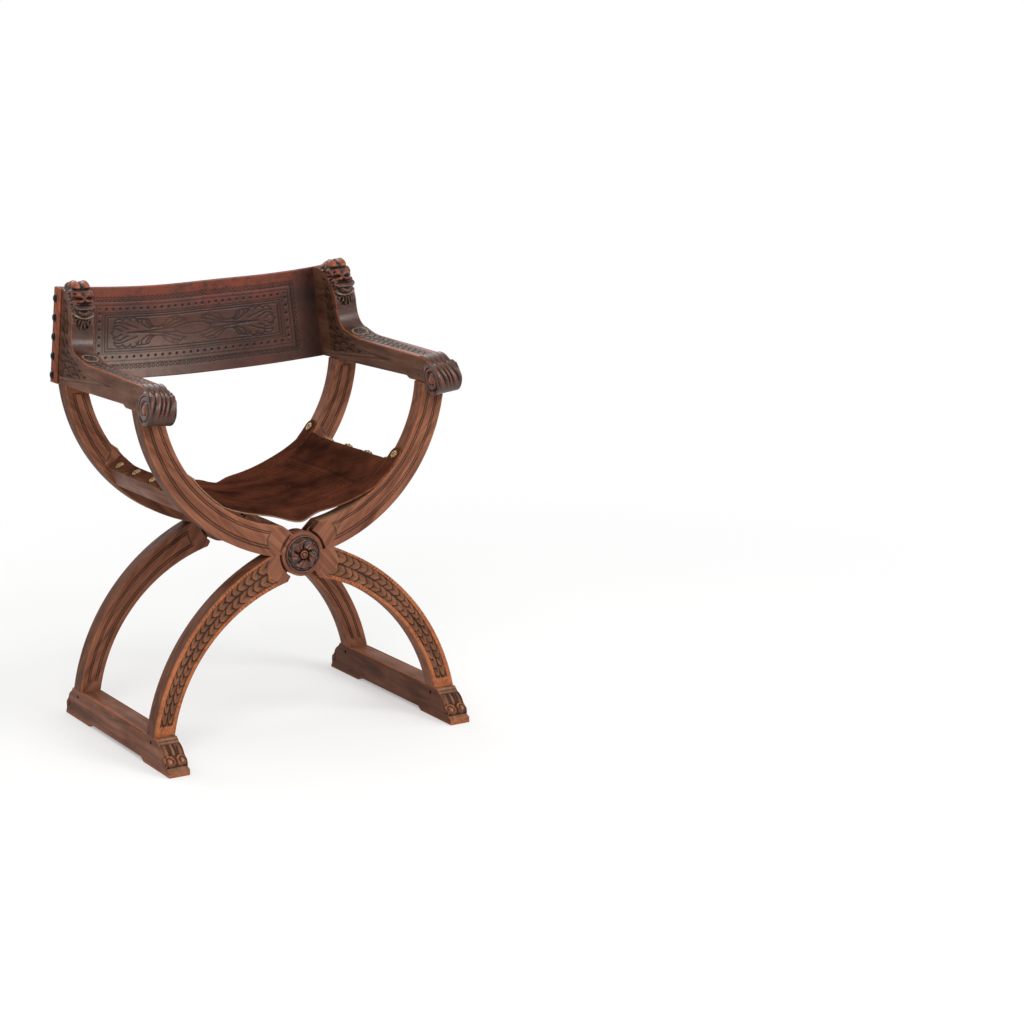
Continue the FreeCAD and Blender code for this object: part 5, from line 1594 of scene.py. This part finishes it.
def thickened(piece: Piece, thickness: float, plain_to: float) -> None:
    """Give a one-sided skin its thickness for good.

    Args:
        piece: the skin, with both its finishes.
        thickness: how thick it gets behind its face, mm.
        plain_to: how far each side of the middle its far side shows no tooling, mm.
    """
    solid = piece.modifiers.new("thickness", "SOLIDIFY")
    solid.thickness = thickness * MM
    solid.offset = -1
    solid.use_even_offset = True
    solid.material_offset = 1
    graph = bpy.context.evaluated_depsgraph_get()
    solid_piece = piece.evaluated_get(graph)
    whole = bpy.data.meshes.new_from_object(solid_piece, preserve_all_data_layers=True, depsgraph=graph)
    piece.modifiers.clear()
    piece.data = whole
    layer = whole.attributes["recess"].data
    recess = values_of(layer, "value")
    behind = np.zeros(len(recess), bool)
    behind[[corner for face in whole.polygons if face.material_index == 1 for corner in face.vertices]] = True
    behind &= np.abs(places_of(whole)[:, 0]) < plain_to * MM
    layer.foreach_set("value", np.where(behind, 0.12 * recess, recess))


def welded(name: str, skins: Iterable[Mesh], facing: Vector) -> Piece:
    """Join skins along their shared edges into one open sheet.

    Args:
        name: the object's name.
        skins: the parts, whose edges meet point for point.
        facing: the way most of the sheet should face.
    Returns:
        The object.
    """
    piece = joined(name, skins, 60)
    bm = bmesh.new()
    bm.from_mesh(piece.data)
    bmesh.ops.remove_doubles(bm, verts=[vert for vert in bm.verts if vert.is_boundary], dist=2e-5)
    bmesh.ops.recalc_face_normals(bm, faces=bm.faces)
    mean = sum((face.normal * face.calc_area() for face in bm.faces), Vector())
    if mean.dot(facing) < 0:
        bmesh.ops.reverse_faces(bm, faces=bm.faces)
    bm.to_mesh(piece.data)
    bm.free()
    return piece


@dataclass
class BackLeather:
    """The tooled back: a strap round both posts and a bowed sheet between them."""

    finishes: Finishes
    arm_half: float = PLAN.arm_width / 2
    height: float = 186.0
    behind: float = 237.3
    flap: float = 37.3
    bow: float = 12.0
    sag: float = 11.0
    fold: float = 3.5
    middle_x: float = -9.0
    middle_up: float = 92.5
    ring_box: tuple[float, float] = (232.0, 69.0)
    ring_pitch: float = 9.7
    dot_box: tuple[float, float] = (213.0, 48.0)
    dot_pitch: float = 15.8
    # the plain borders: half across, half up and strength
    borders: tuple[tuple[float, float, float], ...] = (
        (227.5, 63.5, 0.85), (220, 55.7, 0.6), (206, 40.8, 0.6), (200, 36.5, 0.9), (194, 31.5, 1.0))
    leaf_tip: float = 187.0
    # a quarter of the leaves: mm in from the tip, and mm off the pattern's middle line
    leaves: tuple[Corners, ...] = (
        ((0, 0), (5, 3.2), (8, 7.5), (14, 8.5), (20, 5), (26, 3)),
        ((5, 9), (8, 12), (15, 14.4), (23, 14.4), (29, 11), (39, 6.5)),
        ((8, 17.5), (9, 22.5), (14, 26.8), (22, 27), (27.4, 23)),
        ((9, 18.5), (19.6, 20.5), (41, 15), (60, 8.5)),
        ((27.4, 23), (29.8, 27), (35, 28.5), (41, 27), (44, 22.7)),
        ((44, 22.7), (45, 26.5), (49.4, 28.8), (55.3, 28), (60.5, 24), (62.5, 17.5)),
        ((57, 21), (63.5, 26), (70, 25), (69, 18), (76, 12), (88, 6.5)),
        ((70, 25), (78, 25), (82, 18), (88, 11), (95, 8.5)), ((79, 25), (86, 23), (90, 15), (97, 10)),
        ((38, 0), (75, 1.2), (110, 3), (146, 5)),
        ((88, 6.5), (100, 9), (112, 9), (120, 14), (127, 21), (137, 25.5), (149, 27), (158, 24)),
        ((112, 9), (127, 12), (141, 19), (152, 23), (170, 21)), ((118, 6), (135, 9), (152, 14), (172, 17)),
        ((137, 25.5), (142, 21), (152, 20)), ((158, 24), (161, 19), (172, 17)),
        ((146, 0), (152, 6), (166, 10), (187, 11.5)))

    @property
    def half_span(self) -> float:
        """Return half the sheet's width between the posts, at its foot."""
        return PLAN.arm_x - self.arm_half * math.cos(math.radians(PLAN.arm_lean))

    @property
    def turn_at(self) -> float:
        """Return how far from the middle the strap turns down a post's outer face."""
        return self.half_span + 2 * self.arm_half + PLAN.gap

    def tooling(self, across: Array, up: Array) -> tuple[Array, Array]:
        """Return the punched and cut pattern.

        Args:
            across: mm from the pattern's middle.
            up: mm from the pattern's middle line.
        Returns:
            The depth of the tooling in mm, and its shade.
        """
        edge, run = box_edge(across, up, *self.ring_box)
        cut = rings(run, edge, self.ring_pitch, 3.1, 1.05)
        edge, run = box_edge(across, up, *self.dot_box)
        cut = np.maximum(cut, dots(run, edge, self.dot_pitch, 3.3))
        for half_across, half_up, strength in self.borders:
            edge, run = box_edge(across, up, half_across, half_up)
            cut = np.maximum(cut, strength * hill(edge, 1.25))
        inward = self.leaf_tip - np.abs(across)
        bold = 1.0 - 0.4 * smooth(85, 130, inward)
        for corners in self.leaves:
            cut = np.maximum(cut, bold * hill(near_curve(inward, np.abs(up), corners), 1.4))
        return 0.9 * cut, cut

    def shape(self, run: Array, up: Array) -> Shaped:
        """Bend the strip: a sheet, then behind the post, then the flap down its outer face."""
        lean = math.radians(PLAN.arm_lean)
        side, away = np.sign(run), np.abs(run)
        share = np.clip(away / self.half_span, 0, 1)
        hang = 1 - share ** 2
        cut, shade = self.tooling(run - self.middle_x, up - self.middle_up)
        tooled = away < self.half_span - 8
        cut, shade = cut * tooled, shade * tooled
        ripple = hang * (1.6 * np.sin(run / 61 + 1.0) * (up / self.height) + 0.9 * np.sin(run / 33))
        sheet_x = share * (self.half_span - up * math.sin(lean))
        sheet_y = self.behind + self.bow * hang + cut + ripple
        sheet_z = (PLAN.arm_z - self.arm_half * math.sin(lean) + up * math.cos(lean) - self.sag * hang
                   + 1.3 * hang * np.sin(run / 70 + 0.6) * (up / self.height))
        reach = self.arm_half + PLAN.gap
        past = away - self.turn_at
        bend = np.clip((past / self.fold + 1) / 2, 0, 1) * math.pi / 2
        post_x = np.where(past < -self.fold, away - self.half_span - self.arm_half,
                          reach - self.fold + self.fold * np.sin(bend))
        post_y = np.where(past > self.fold, self.behind - past,
                          self.behind - self.fold + self.fold * np.cos(bend))
        strap_x = PLAN.arm_x + post_x * math.cos(lean) - up * math.sin(lean)
        strap_z = PLAN.arm_z + post_x * math.sin(lean) + up * math.cos(lean)
        on_sheet = away < self.half_span
        x, y, z = (np.where(on_sheet, sheet, strap)
                   for sheet, strap in ((sheet_x, strap_x), (sheet_y, post_y), (sheet_z, strap_z)))
        points = np.stack([side * x, y, z], axis=1)
        edge = np.minimum(up, self.height - up)
        rubbed = smooth(118, 178, up + 12 * np.sin(run / 58) + 7 * np.sin(run / 21))
        wear = 0.4 * hill(edge, 2.5) + 0.6 * rubbed * on_sheet
        wear = wear + (0.45 + 0.4 * smooth(60, 170, up)) * (past > 0)
        # painted shade near the posts and in the fold round each post
        gloom = 0.55 * smooth(222, 266, away) * on_sheet + 0.5 * hill(past, 5)
        scuffed = 0.5 + 0.5 * np.sin(up / 6.1 + 1.3 * np.sin(up / 17)) * np.sin(up / 2.9 + past / 4)
        gloom = gloom + 0.45 * (past > 0) * smooth(0.45, 0.9, scuffed)
        # a painted sheen, pale, on the lower left of the sheet
        painted_sheen = 0.5 * (1 - smooth(-210, 120, run)) * (1 - smooth(40, 110, up)) * on_sheet
        return Shaped(points, np.maximum(shade, gloom), wear, np.maximum(0.2 * hill(edge, 0.8), painted_sheen))

    def build(self) -> Piece:
        """Make the back leather."""
        total = self.turn_at + self.flap
        bend_from, bend_to = self.turn_at - self.fold, self.turn_at + self.fold
        half = rows((0, 240, 1.5), (240, self.half_span, 3), (self.half_span, bend_from, 4),
                    (bend_from, bend_to, 1.0), (bend_to, total, 3))
        run = np.concatenate([-half[::-1], half[1:]])
        up = rows((0, 18, 3), (18, 168, 1.5), (168, self.height, 3))
        skin = lofted("back_skin", run, up, self.shape, ring=False, ends=False)
        piece = welded("tooled_back_leather", [skin], Vector((0, -1, 0)))
        self.finishes.put(piece, self.finishes.back, self.finishes.flesh)
        thickened(piece, PLAN.leather, self.half_span)
        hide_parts("back_leather")
        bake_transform(piece)
        faces = len(piece.data.polygons)
        LOG.info("%s: %d faces, %.0f by %.0f mm flat", piece.name, faces, 2 * total, self.height)
        return piece


@dataclass
class SeatLeather:
    """The sling seat: a sheet over both rails with four tabs up the uprights."""

    finishes: Finishes
    front: tuple[float, float] = (PLAN.front_member, PLAN.rail_front)
    rear: tuple[float, float] = (PLAN.rail_rear, PLAN.rear_member + PLAN.member_depth)
    # the sling's shape: back, the angle where it leaves the uprights, and its lowest height
    stations: tuple[tuple[float, float, float], ...] = (
        (PLAN.rail_front, 36.5, 448.0), (5.0, 43.25, 456.0), (PLAN.rail_rear, 45.0, 449.0))
    tab_angle: float = 56.0
    tooled_at: float = 8.0
    tooled_half: tuple[float, float] = (150.0, 140.0)
    oval_half: tuple[float, float] = (78.0, 60.0)
    # the share of a side part where it reaches the rail, and how far its slope is measured
    at_rail: float = 0.72
    slope_step: float = 2.2

    def on_arc(self, degrees: Array | float, lift: float) -> tuple[Array, Array]:
        """Return places on the upright's inner edge, lifted off it."""
        turn = np.radians(degrees)
        reach = PLAN.arc_radius - lift
        return reach * np.sin(turn) + PLAN.arc_x, PLAN.arc_z - reach * np.cos(turn)

    @property
    def flat_reach(self) -> float:
        """Return how far out the sheet has one shape in all its parts."""
        return float(self.on_arc(self.stations[0][1], PLAN.gap)[0])

    def hang(self, away: Array, back: Array) -> Array:
        """Return the sling's height, on its upper face."""
        heights = []
        for _, degrees, dip in self.stations:
            foot_x, foot_z = self.on_arc(degrees, PLAN.gap)
            drop = foot_z - dip
            radius = (foot_x ** 2 + drop ** 2) / (2 * drop)
            heights.append(dip + radius - np.sqrt(radius ** 2 - np.minimum(away, foot_x) ** 2))
        places = [station[0] for station in self.stations]
        share = np.interp(back, places, (0, 1, 2))
        low = np.where(share < 1, heights[0], heights[1])
        high = np.where(share < 1, heights[1], heights[2])
        return low + (high - low) * np.where(share < 1, share, share - 1) + PLAN.leather

    def tooling(self, x: Array, back: Array) -> Array:
        """Return the punched borders and the faint middle oval: 1 where the leather is pressed."""
        behind = back - self.tooled_at
        half_x, half_back = self.tooled_half
        edge, run = box_edge(x, behind, half_x, half_back)
        cut = 0.8 * rings(run, edge, 9.5, 2.6, 1.0)
        for inset in (12, 26):
            edge, run = box_edge(x, behind, half_x - inset, half_back - inset)
            cut = np.maximum(cut, 0.7 * dots(run, edge, 6.5, 1.9))
        edge, run = box_edge(x, behind, half_x - 19, half_back - 19)
        cut = np.maximum(cut, 0.6 * hill(edge, 1.1))
        for scale in (1.0, 0.86):
            oval = np.hypot(x / (self.oval_half[0] * scale), behind / (self.oval_half[1] * scale))
            cut = np.maximum(cut, 0.45 * hill((oval - 1) * 60, 1.2))
        return cut

    def finish_skin(self, points: Array, edge: Array) -> Shaped:
        """Press the tooling, lift the worn edges and return what the points carry."""
        x, back = points[:, 0], points[:, 1]
        cut = self.tooling(x, back) * (np.abs(x) < 200)
        points[:, 2] -= 0.6 * cut
        points[:, 2] += 1.1 * np.sin(x / 37 + back / 51) * (1 - smooth(120, 180, np.abs(x)))
        dip = hill(x + 2, np.where(x < -2, 42, 26)) * (1 - smooth(-198, -140, back))
        points[:, 2] -= 15.0 * dip + 9.0 * hill(x - 4, 20) * smooth(150, 208, back)
        wear = 0.55 * hill(edge, 3.5) + 0.35 * smooth(195, 230, np.abs(x))
        pale = 0.5 * hill(edge, 1.2) * ((back < -150) * (x < 40) + (back > 165) * (x < -165))
        return Shaped(points, 0.9 * cut, wear, pale)

    def core(self, x: Array, back: Array) -> Shaped:
        """Shape the middle of the sheet."""
        edge = np.minimum(back - self.front[0], self.rear[1] - back)
        return self.finish_skin(np.stack([x, back, self.hang(np.abs(x), back)], axis=1), edge)

    def wing(self, side: Side) -> Callable[[Array, Array], Shaped]:
        """Return the shape of a side part: up to the rail, over it and a little down."""
        lean = math.radians(PLAN.rail_lean)
        up = PLAN.rail_height / 2 + PLAN.gap + PLAN.leather

        def arris(across: float) -> tuple[float, float]:
            return (PLAN.rail_x + across * math.cos(lean) + up * math.sin(lean),
                    PLAN.rail_z - across * math.sin(lean) + up * math.cos(lean))

        inner, outer = arris(-PLAN.rail_width / 2), arris(PLAN.rail_width / 2)
        span = inner[0] - self.flat_reach

        def shape(share: Array, back: Array) -> Shaped:
            foot_z = self.hang(np.full(len(back), self.flat_reach), back)
            first = np.clip(share / self.at_rail, 0, 1)
            second = np.clip((share - self.at_rail) / (1 - self.at_rail), 0, 1)
            x = self.flat_reach + span * first + (outer[0] - inner[0]) * second
            # the sling's own slope carries on past its foot, and eases over the rail's edge
            before = self.hang(np.full(len(back), self.flat_reach - self.slope_step), back)
            first_slope = (foot_z - before) / self.slope_step * span
            last_slope = (inner[1] - foot_z) * 0.9
            square, cube = first ** 2, first ** 3
            z = (foot_z * (2 * cube - 3 * square + 1) + first_slope * (cube - 2 * square + first)
                 + inner[1] * (3 * square - 2 * cube) + last_slope * (cube - square))
            z = z + (outer[1] - inner[1]) * second
            x = x + second * (1.3 * np.sin(back / 9.0) + 0.9 * np.sin(back / 23.0))
            z = z - 1.6 * hill(share - self.at_rail, 0.05) + 1.0 * second ** 3 * np.sin(back / 13.0)
            # the rear corner is drawn up to its tab
            arc_z = PLAN.arc_z - np.sqrt((PLAN.arc_radius - 3) ** 2 - (x - PLAN.arc_x) ** 2)
            z = z + np.maximum(arc_z - z, 0) * smooth(146, 169, back) * (1 - smooth(0.5, 0.8, share))
            return self.finish_skin(np.stack([side.value * x, back, z], axis=1), (1 - share) * 84)
        return shape

    def tab(self, side: Side, front: bool) -> Callable[[Array, Array], Shaped]:
        """Return the shape of a corner tab, up an upright's inner edge, with a round end."""
        low, high = self.front if front else self.rear
        degrees = self.stations[0 if front else 2][1]
        middle, half = (low + high) / 2, (high - low) / 2

        def shape(share: Array, back: Array) -> Shaped:
            foot_x, _ = self.on_arc(degrees, PLAN.gap)
            flat = max(foot_x - self.flat_reach, 0.0)
            climb = math.radians(self.tab_angle - degrees) * PLAN.arc_radius
            place = share * (flat + climb)
            x_flat = self.flat_reach + np.minimum(place, flat)
            turn = degrees + np.degrees(np.maximum(place - flat, 0) / PLAN.arc_radius)
            arc_x, arc_z = self.on_arc(turn, PLAN.gap + PLAN.leather)
            ease = smooth(0, 12, place - flat) if flat > 0 else smooth(-0.1, 12, place)
            sling_z = self.hang(x_flat, np.full(len(back), high if front else low))
            past = np.maximum(place - flat, 0)
            x_step = x_flat + past * math.cos(math.radians(degrees))
            z_step = sling_z + past * math.sin(math.radians(degrees))
            x, z = x_step + (arc_x - x_step) * ease, z_step + (arc_z - z_step) * ease
            end = np.clip((place - (flat + climb - half * 0.9)) / (half * 0.9), 0, 1)
            narrow = np.sqrt(np.clip(1 - end ** 2, 0.02, 1))
            at = middle + (back - middle) * narrow
            edge = np.minimum(half * narrow - np.abs(at - middle), (1 - share) * (flat + climb))
            return self.finish_skin(np.stack([side.value * x, at, z], axis=1), edge)
        return shape

    def build(self) -> Piece:
        """Make the seat leather."""
        front = np.linspace(*self.front, 19)
        rear = np.linspace(*self.rear, 19)
        middle = rows((self.front[1] + PLAN.gap, self.rear[0] - PLAN.gap, 2.2))
        depth = np.concatenate([front, middle, rear])
        width = rows((-self.flat_reach, self.flat_reach, 2.2))
        skins = [lofted("seat_core", width, depth, self.core, ring=False, ends=False)]
        for side in Side:
            skins.append(lofted("seat_wing", np.linspace(0, 1, 39), middle, self.wing(side), ring=False,
                                ends=False))
            for is_front, run in ((True, front), (False, rear)):
                skins.append(lofted("seat_tab", np.linspace(0, 1, 44), run, self.tab(side, is_front),
                                    ring=False, ends=False))
        piece = welded("sling_seat_leather", skins, Vector((0, 0, 1)))
        area = sum(face.area for face in piece.data.polygons)
        self.finishes.put(piece, self.finishes.seat, self.finishes.flesh)
        everywhere = 400
        thickened(piece, PLAN.leather, everywhere)
        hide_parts("seat_leather")
        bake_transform(piece)
        LOG.info("%s: %d faces, %.4f square metres", piece.name, len(piece.data.polygons), area)
        return piece


# stage


def seen_rays(tree: bpy.types.NodeTree) -> Socket:
    """Return 1 for what the camera sees straight, mirrored or through glass, and 0 for other rays."""
    path = tree.nodes.new("ShaderNodeLightPath")
    share = path.outputs["Is Camera Ray"]
    for kind in ("Is Glossy Ray", "Is Transmission Ray"):
        either = tree.nodes.new("ShaderNodeMath")
        either.operation = "MAXIMUM"
        tree.links.new(share, either.inputs[0])
        tree.links.new(path.outputs[kind], either.inputs[1])
        share = either.outputs[0]
    return share


@dataclass
class Stage:
    """A pale floor, soft lamps and the camera."""

    floor: tuple[float, float, float] = (0.94, 0.94, 0.93)
    camera_at: tuple[float, float, float] = (-2.0996, -4.5424, 1.4908)
    heading: float = 0.533
    pitch: float = 0.214
    roll: float = 0.019
    lens: float = 91.31
    sensor: float = 36.0
    clip_end: float = 60.0
    aim_height: float = 0.45
    floor_half: float = 14.0
    # the floor lies a little under the feet, so that the two never flicker
    floor_drop: float = 0.0005

    def camera(self) -> None:
        """Set the camera at the photograph's viewing angle."""
        right = Vector((math.cos(self.heading), -math.sin(self.heading), 0))
        level = Vector((math.sin(self.heading), math.cos(self.heading), 0))
        down = Vector((0, 0, 1))
        forward = level * math.cos(self.pitch) - down * math.sin(self.pitch)
        up = level * math.sin(self.pitch) + down * math.cos(self.pitch)
        image_right = right * math.cos(self.roll) - up * math.sin(self.roll)
        image_up = right * math.sin(self.roll) + up * math.cos(self.roll)
        data = bpy.data.cameras.new("camera")
        data.lens, data.sensor_width, data.sensor_fit = self.lens, self.sensor, "HORIZONTAL"
        data.clip_end = self.clip_end
        lookout = placed("camera", data)
        turn = Matrix((image_right, image_up, -forward)).transposed().to_4x4()
        lookout.matrix_world = Matrix.Translation(self.camera_at) @ turn
        bpy.context.scene.camera = lookout

    def ground(self) -> None:
        """Lay the floor."""
        bm = bmesh.new()
        bmesh.ops.create_grid(bm, x_segments=1, y_segments=1, size=self.floor_half)
        bmesh.ops.translate(bm, verts=bm.verts, vec=(0, 0, -self.floor_drop))
        ground = placed("floor", baked(bm, "floor"))
        shader = Shader("floor_paint")
        speck = shader.noise((3, 3, 3), detail=2)
        paint = shader.mix(shader.ramp(speck, 0.3, 0.7, 0.0, 0.05), (*self.floor, 1), (0.7, 0.7, 0.7, 1))
        shader.feed("Base Color", paint)
        shader.feed("Roughness", 0.9)
        shader.feed("Specular IOR Level", 0.1)
        far = shader.add("ShaderNodeVectorMath", operation="LENGTH")
        shader.link(shader.place, far.inputs[0])
        away = shader.ramp(far.outputs["Value"], 0.9, 2.2, 0.35, 1.0)
        white = shader.add("ShaderNodeEmission")
        white.inputs["Strength"].default_value = 1.0
        blend = shader.add("ShaderNodeMixShader")
        shader.link(shader.maths("MULTIPLY", away, seen_rays(shader.tree)), blend.inputs[0])
        shader.link(shader.surface.outputs[0], blend.inputs[1])
        shader.link(white.outputs[0], blend.inputs[2])
        shader.link(blend.outputs[0], shader.tree.nodes["Material Output"].inputs["Surface"])
        ground.data.materials.append(shader.material)

    def lamp(self, name: str, place: tuple[float, float, float], size: float, power: float) -> None:
        """Hang a square soft lamp that faces the chair."""
        data = bpy.data.lights.new(name, "AREA")
        data.shape, data.size, data.energy = "SQUARE", size, power
        light = placed(name, data)
        aim = Vector((0, 0, self.aim_height)) - Vector(place)
        light.matrix_world = Matrix.Translation(place) @ aim.to_track_quat("-Z", "Y").to_matrix().to_4x4()

    def world(self) -> None:
        """Give a grey fill light, and a white background where the view goes past the floor."""
        world = bpy.data.worlds.new("studio")
        world.use_nodes = True
        bpy.context.scene.world = world
        tree = world.node_tree
        fill, seen = tree.nodes["Background"], tree.nodes.new("ShaderNodeBackground")
        for source in (fill, seen):
            source.inputs["Color"].default_value = (1, 1, 1, 1)
        fill.inputs["Strength"].default_value = 0.5
        mixer = tree.nodes.new("ShaderNodeMixShader")
        sources = (seen_rays(tree), fill.outputs[0], seen.outputs[0])
        for source, socket in zip(sources, mixer.inputs):
            tree.links.new(source, socket)
        tree.links.new(mixer.outputs[0], tree.nodes["World Output"].inputs[0])

    def build(self) -> None:
        """Set the whole stage."""
        self.camera()
        self.ground()
        self.lamp("key_lamp", (-1.6, -3.2, 3.0), 2.2, 82)
        self.lamp("front_lamp", (1.3, -2.8, 2.5), 1.5, 56)
        self.lamp("side_lamp", (3.4, -1.6, 1.9), 2.0, 20)
        self.lamp("rear_lamp", (-0.6, 3.0, 2.9), 2.2, 48)
        self.world()
        bpy.context.scene.view_settings.view_transform = "Standard"


def main() -> None:
    """Build the stage and dress every piece."""
    logging.basicConfig(level=logging.INFO, format="%(message)s")
    Stage().build()
    finishes = Finishes()
    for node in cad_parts:
        if "peg" in node or "pin" in node:
            finishes.put_on_node(node, finishes.end_grain)
        elif "back_nails" in node:
            finishes.put_on_node(node, finishes.iron)
    for builder in (FrontFrame("front", PLAN.front_member, finishes),
                    FoldingFrame("rear", PLAN.rear_member, finishes)):
        for hand in Side:
            builder.member(hand)
    for side in Side:
        Arm(side, finishes).build()
        Runner(side, finishes).build()
        SeatRail(side, finishes).build()
        FlowerNails(side, finishes).build()
    Rosette(finishes).build()
    SeatLeather(finishes).build()
    BackLeather(finishes).build()


if __name__ == "__main__":
    main()
    bpy.context.view_layer.update()
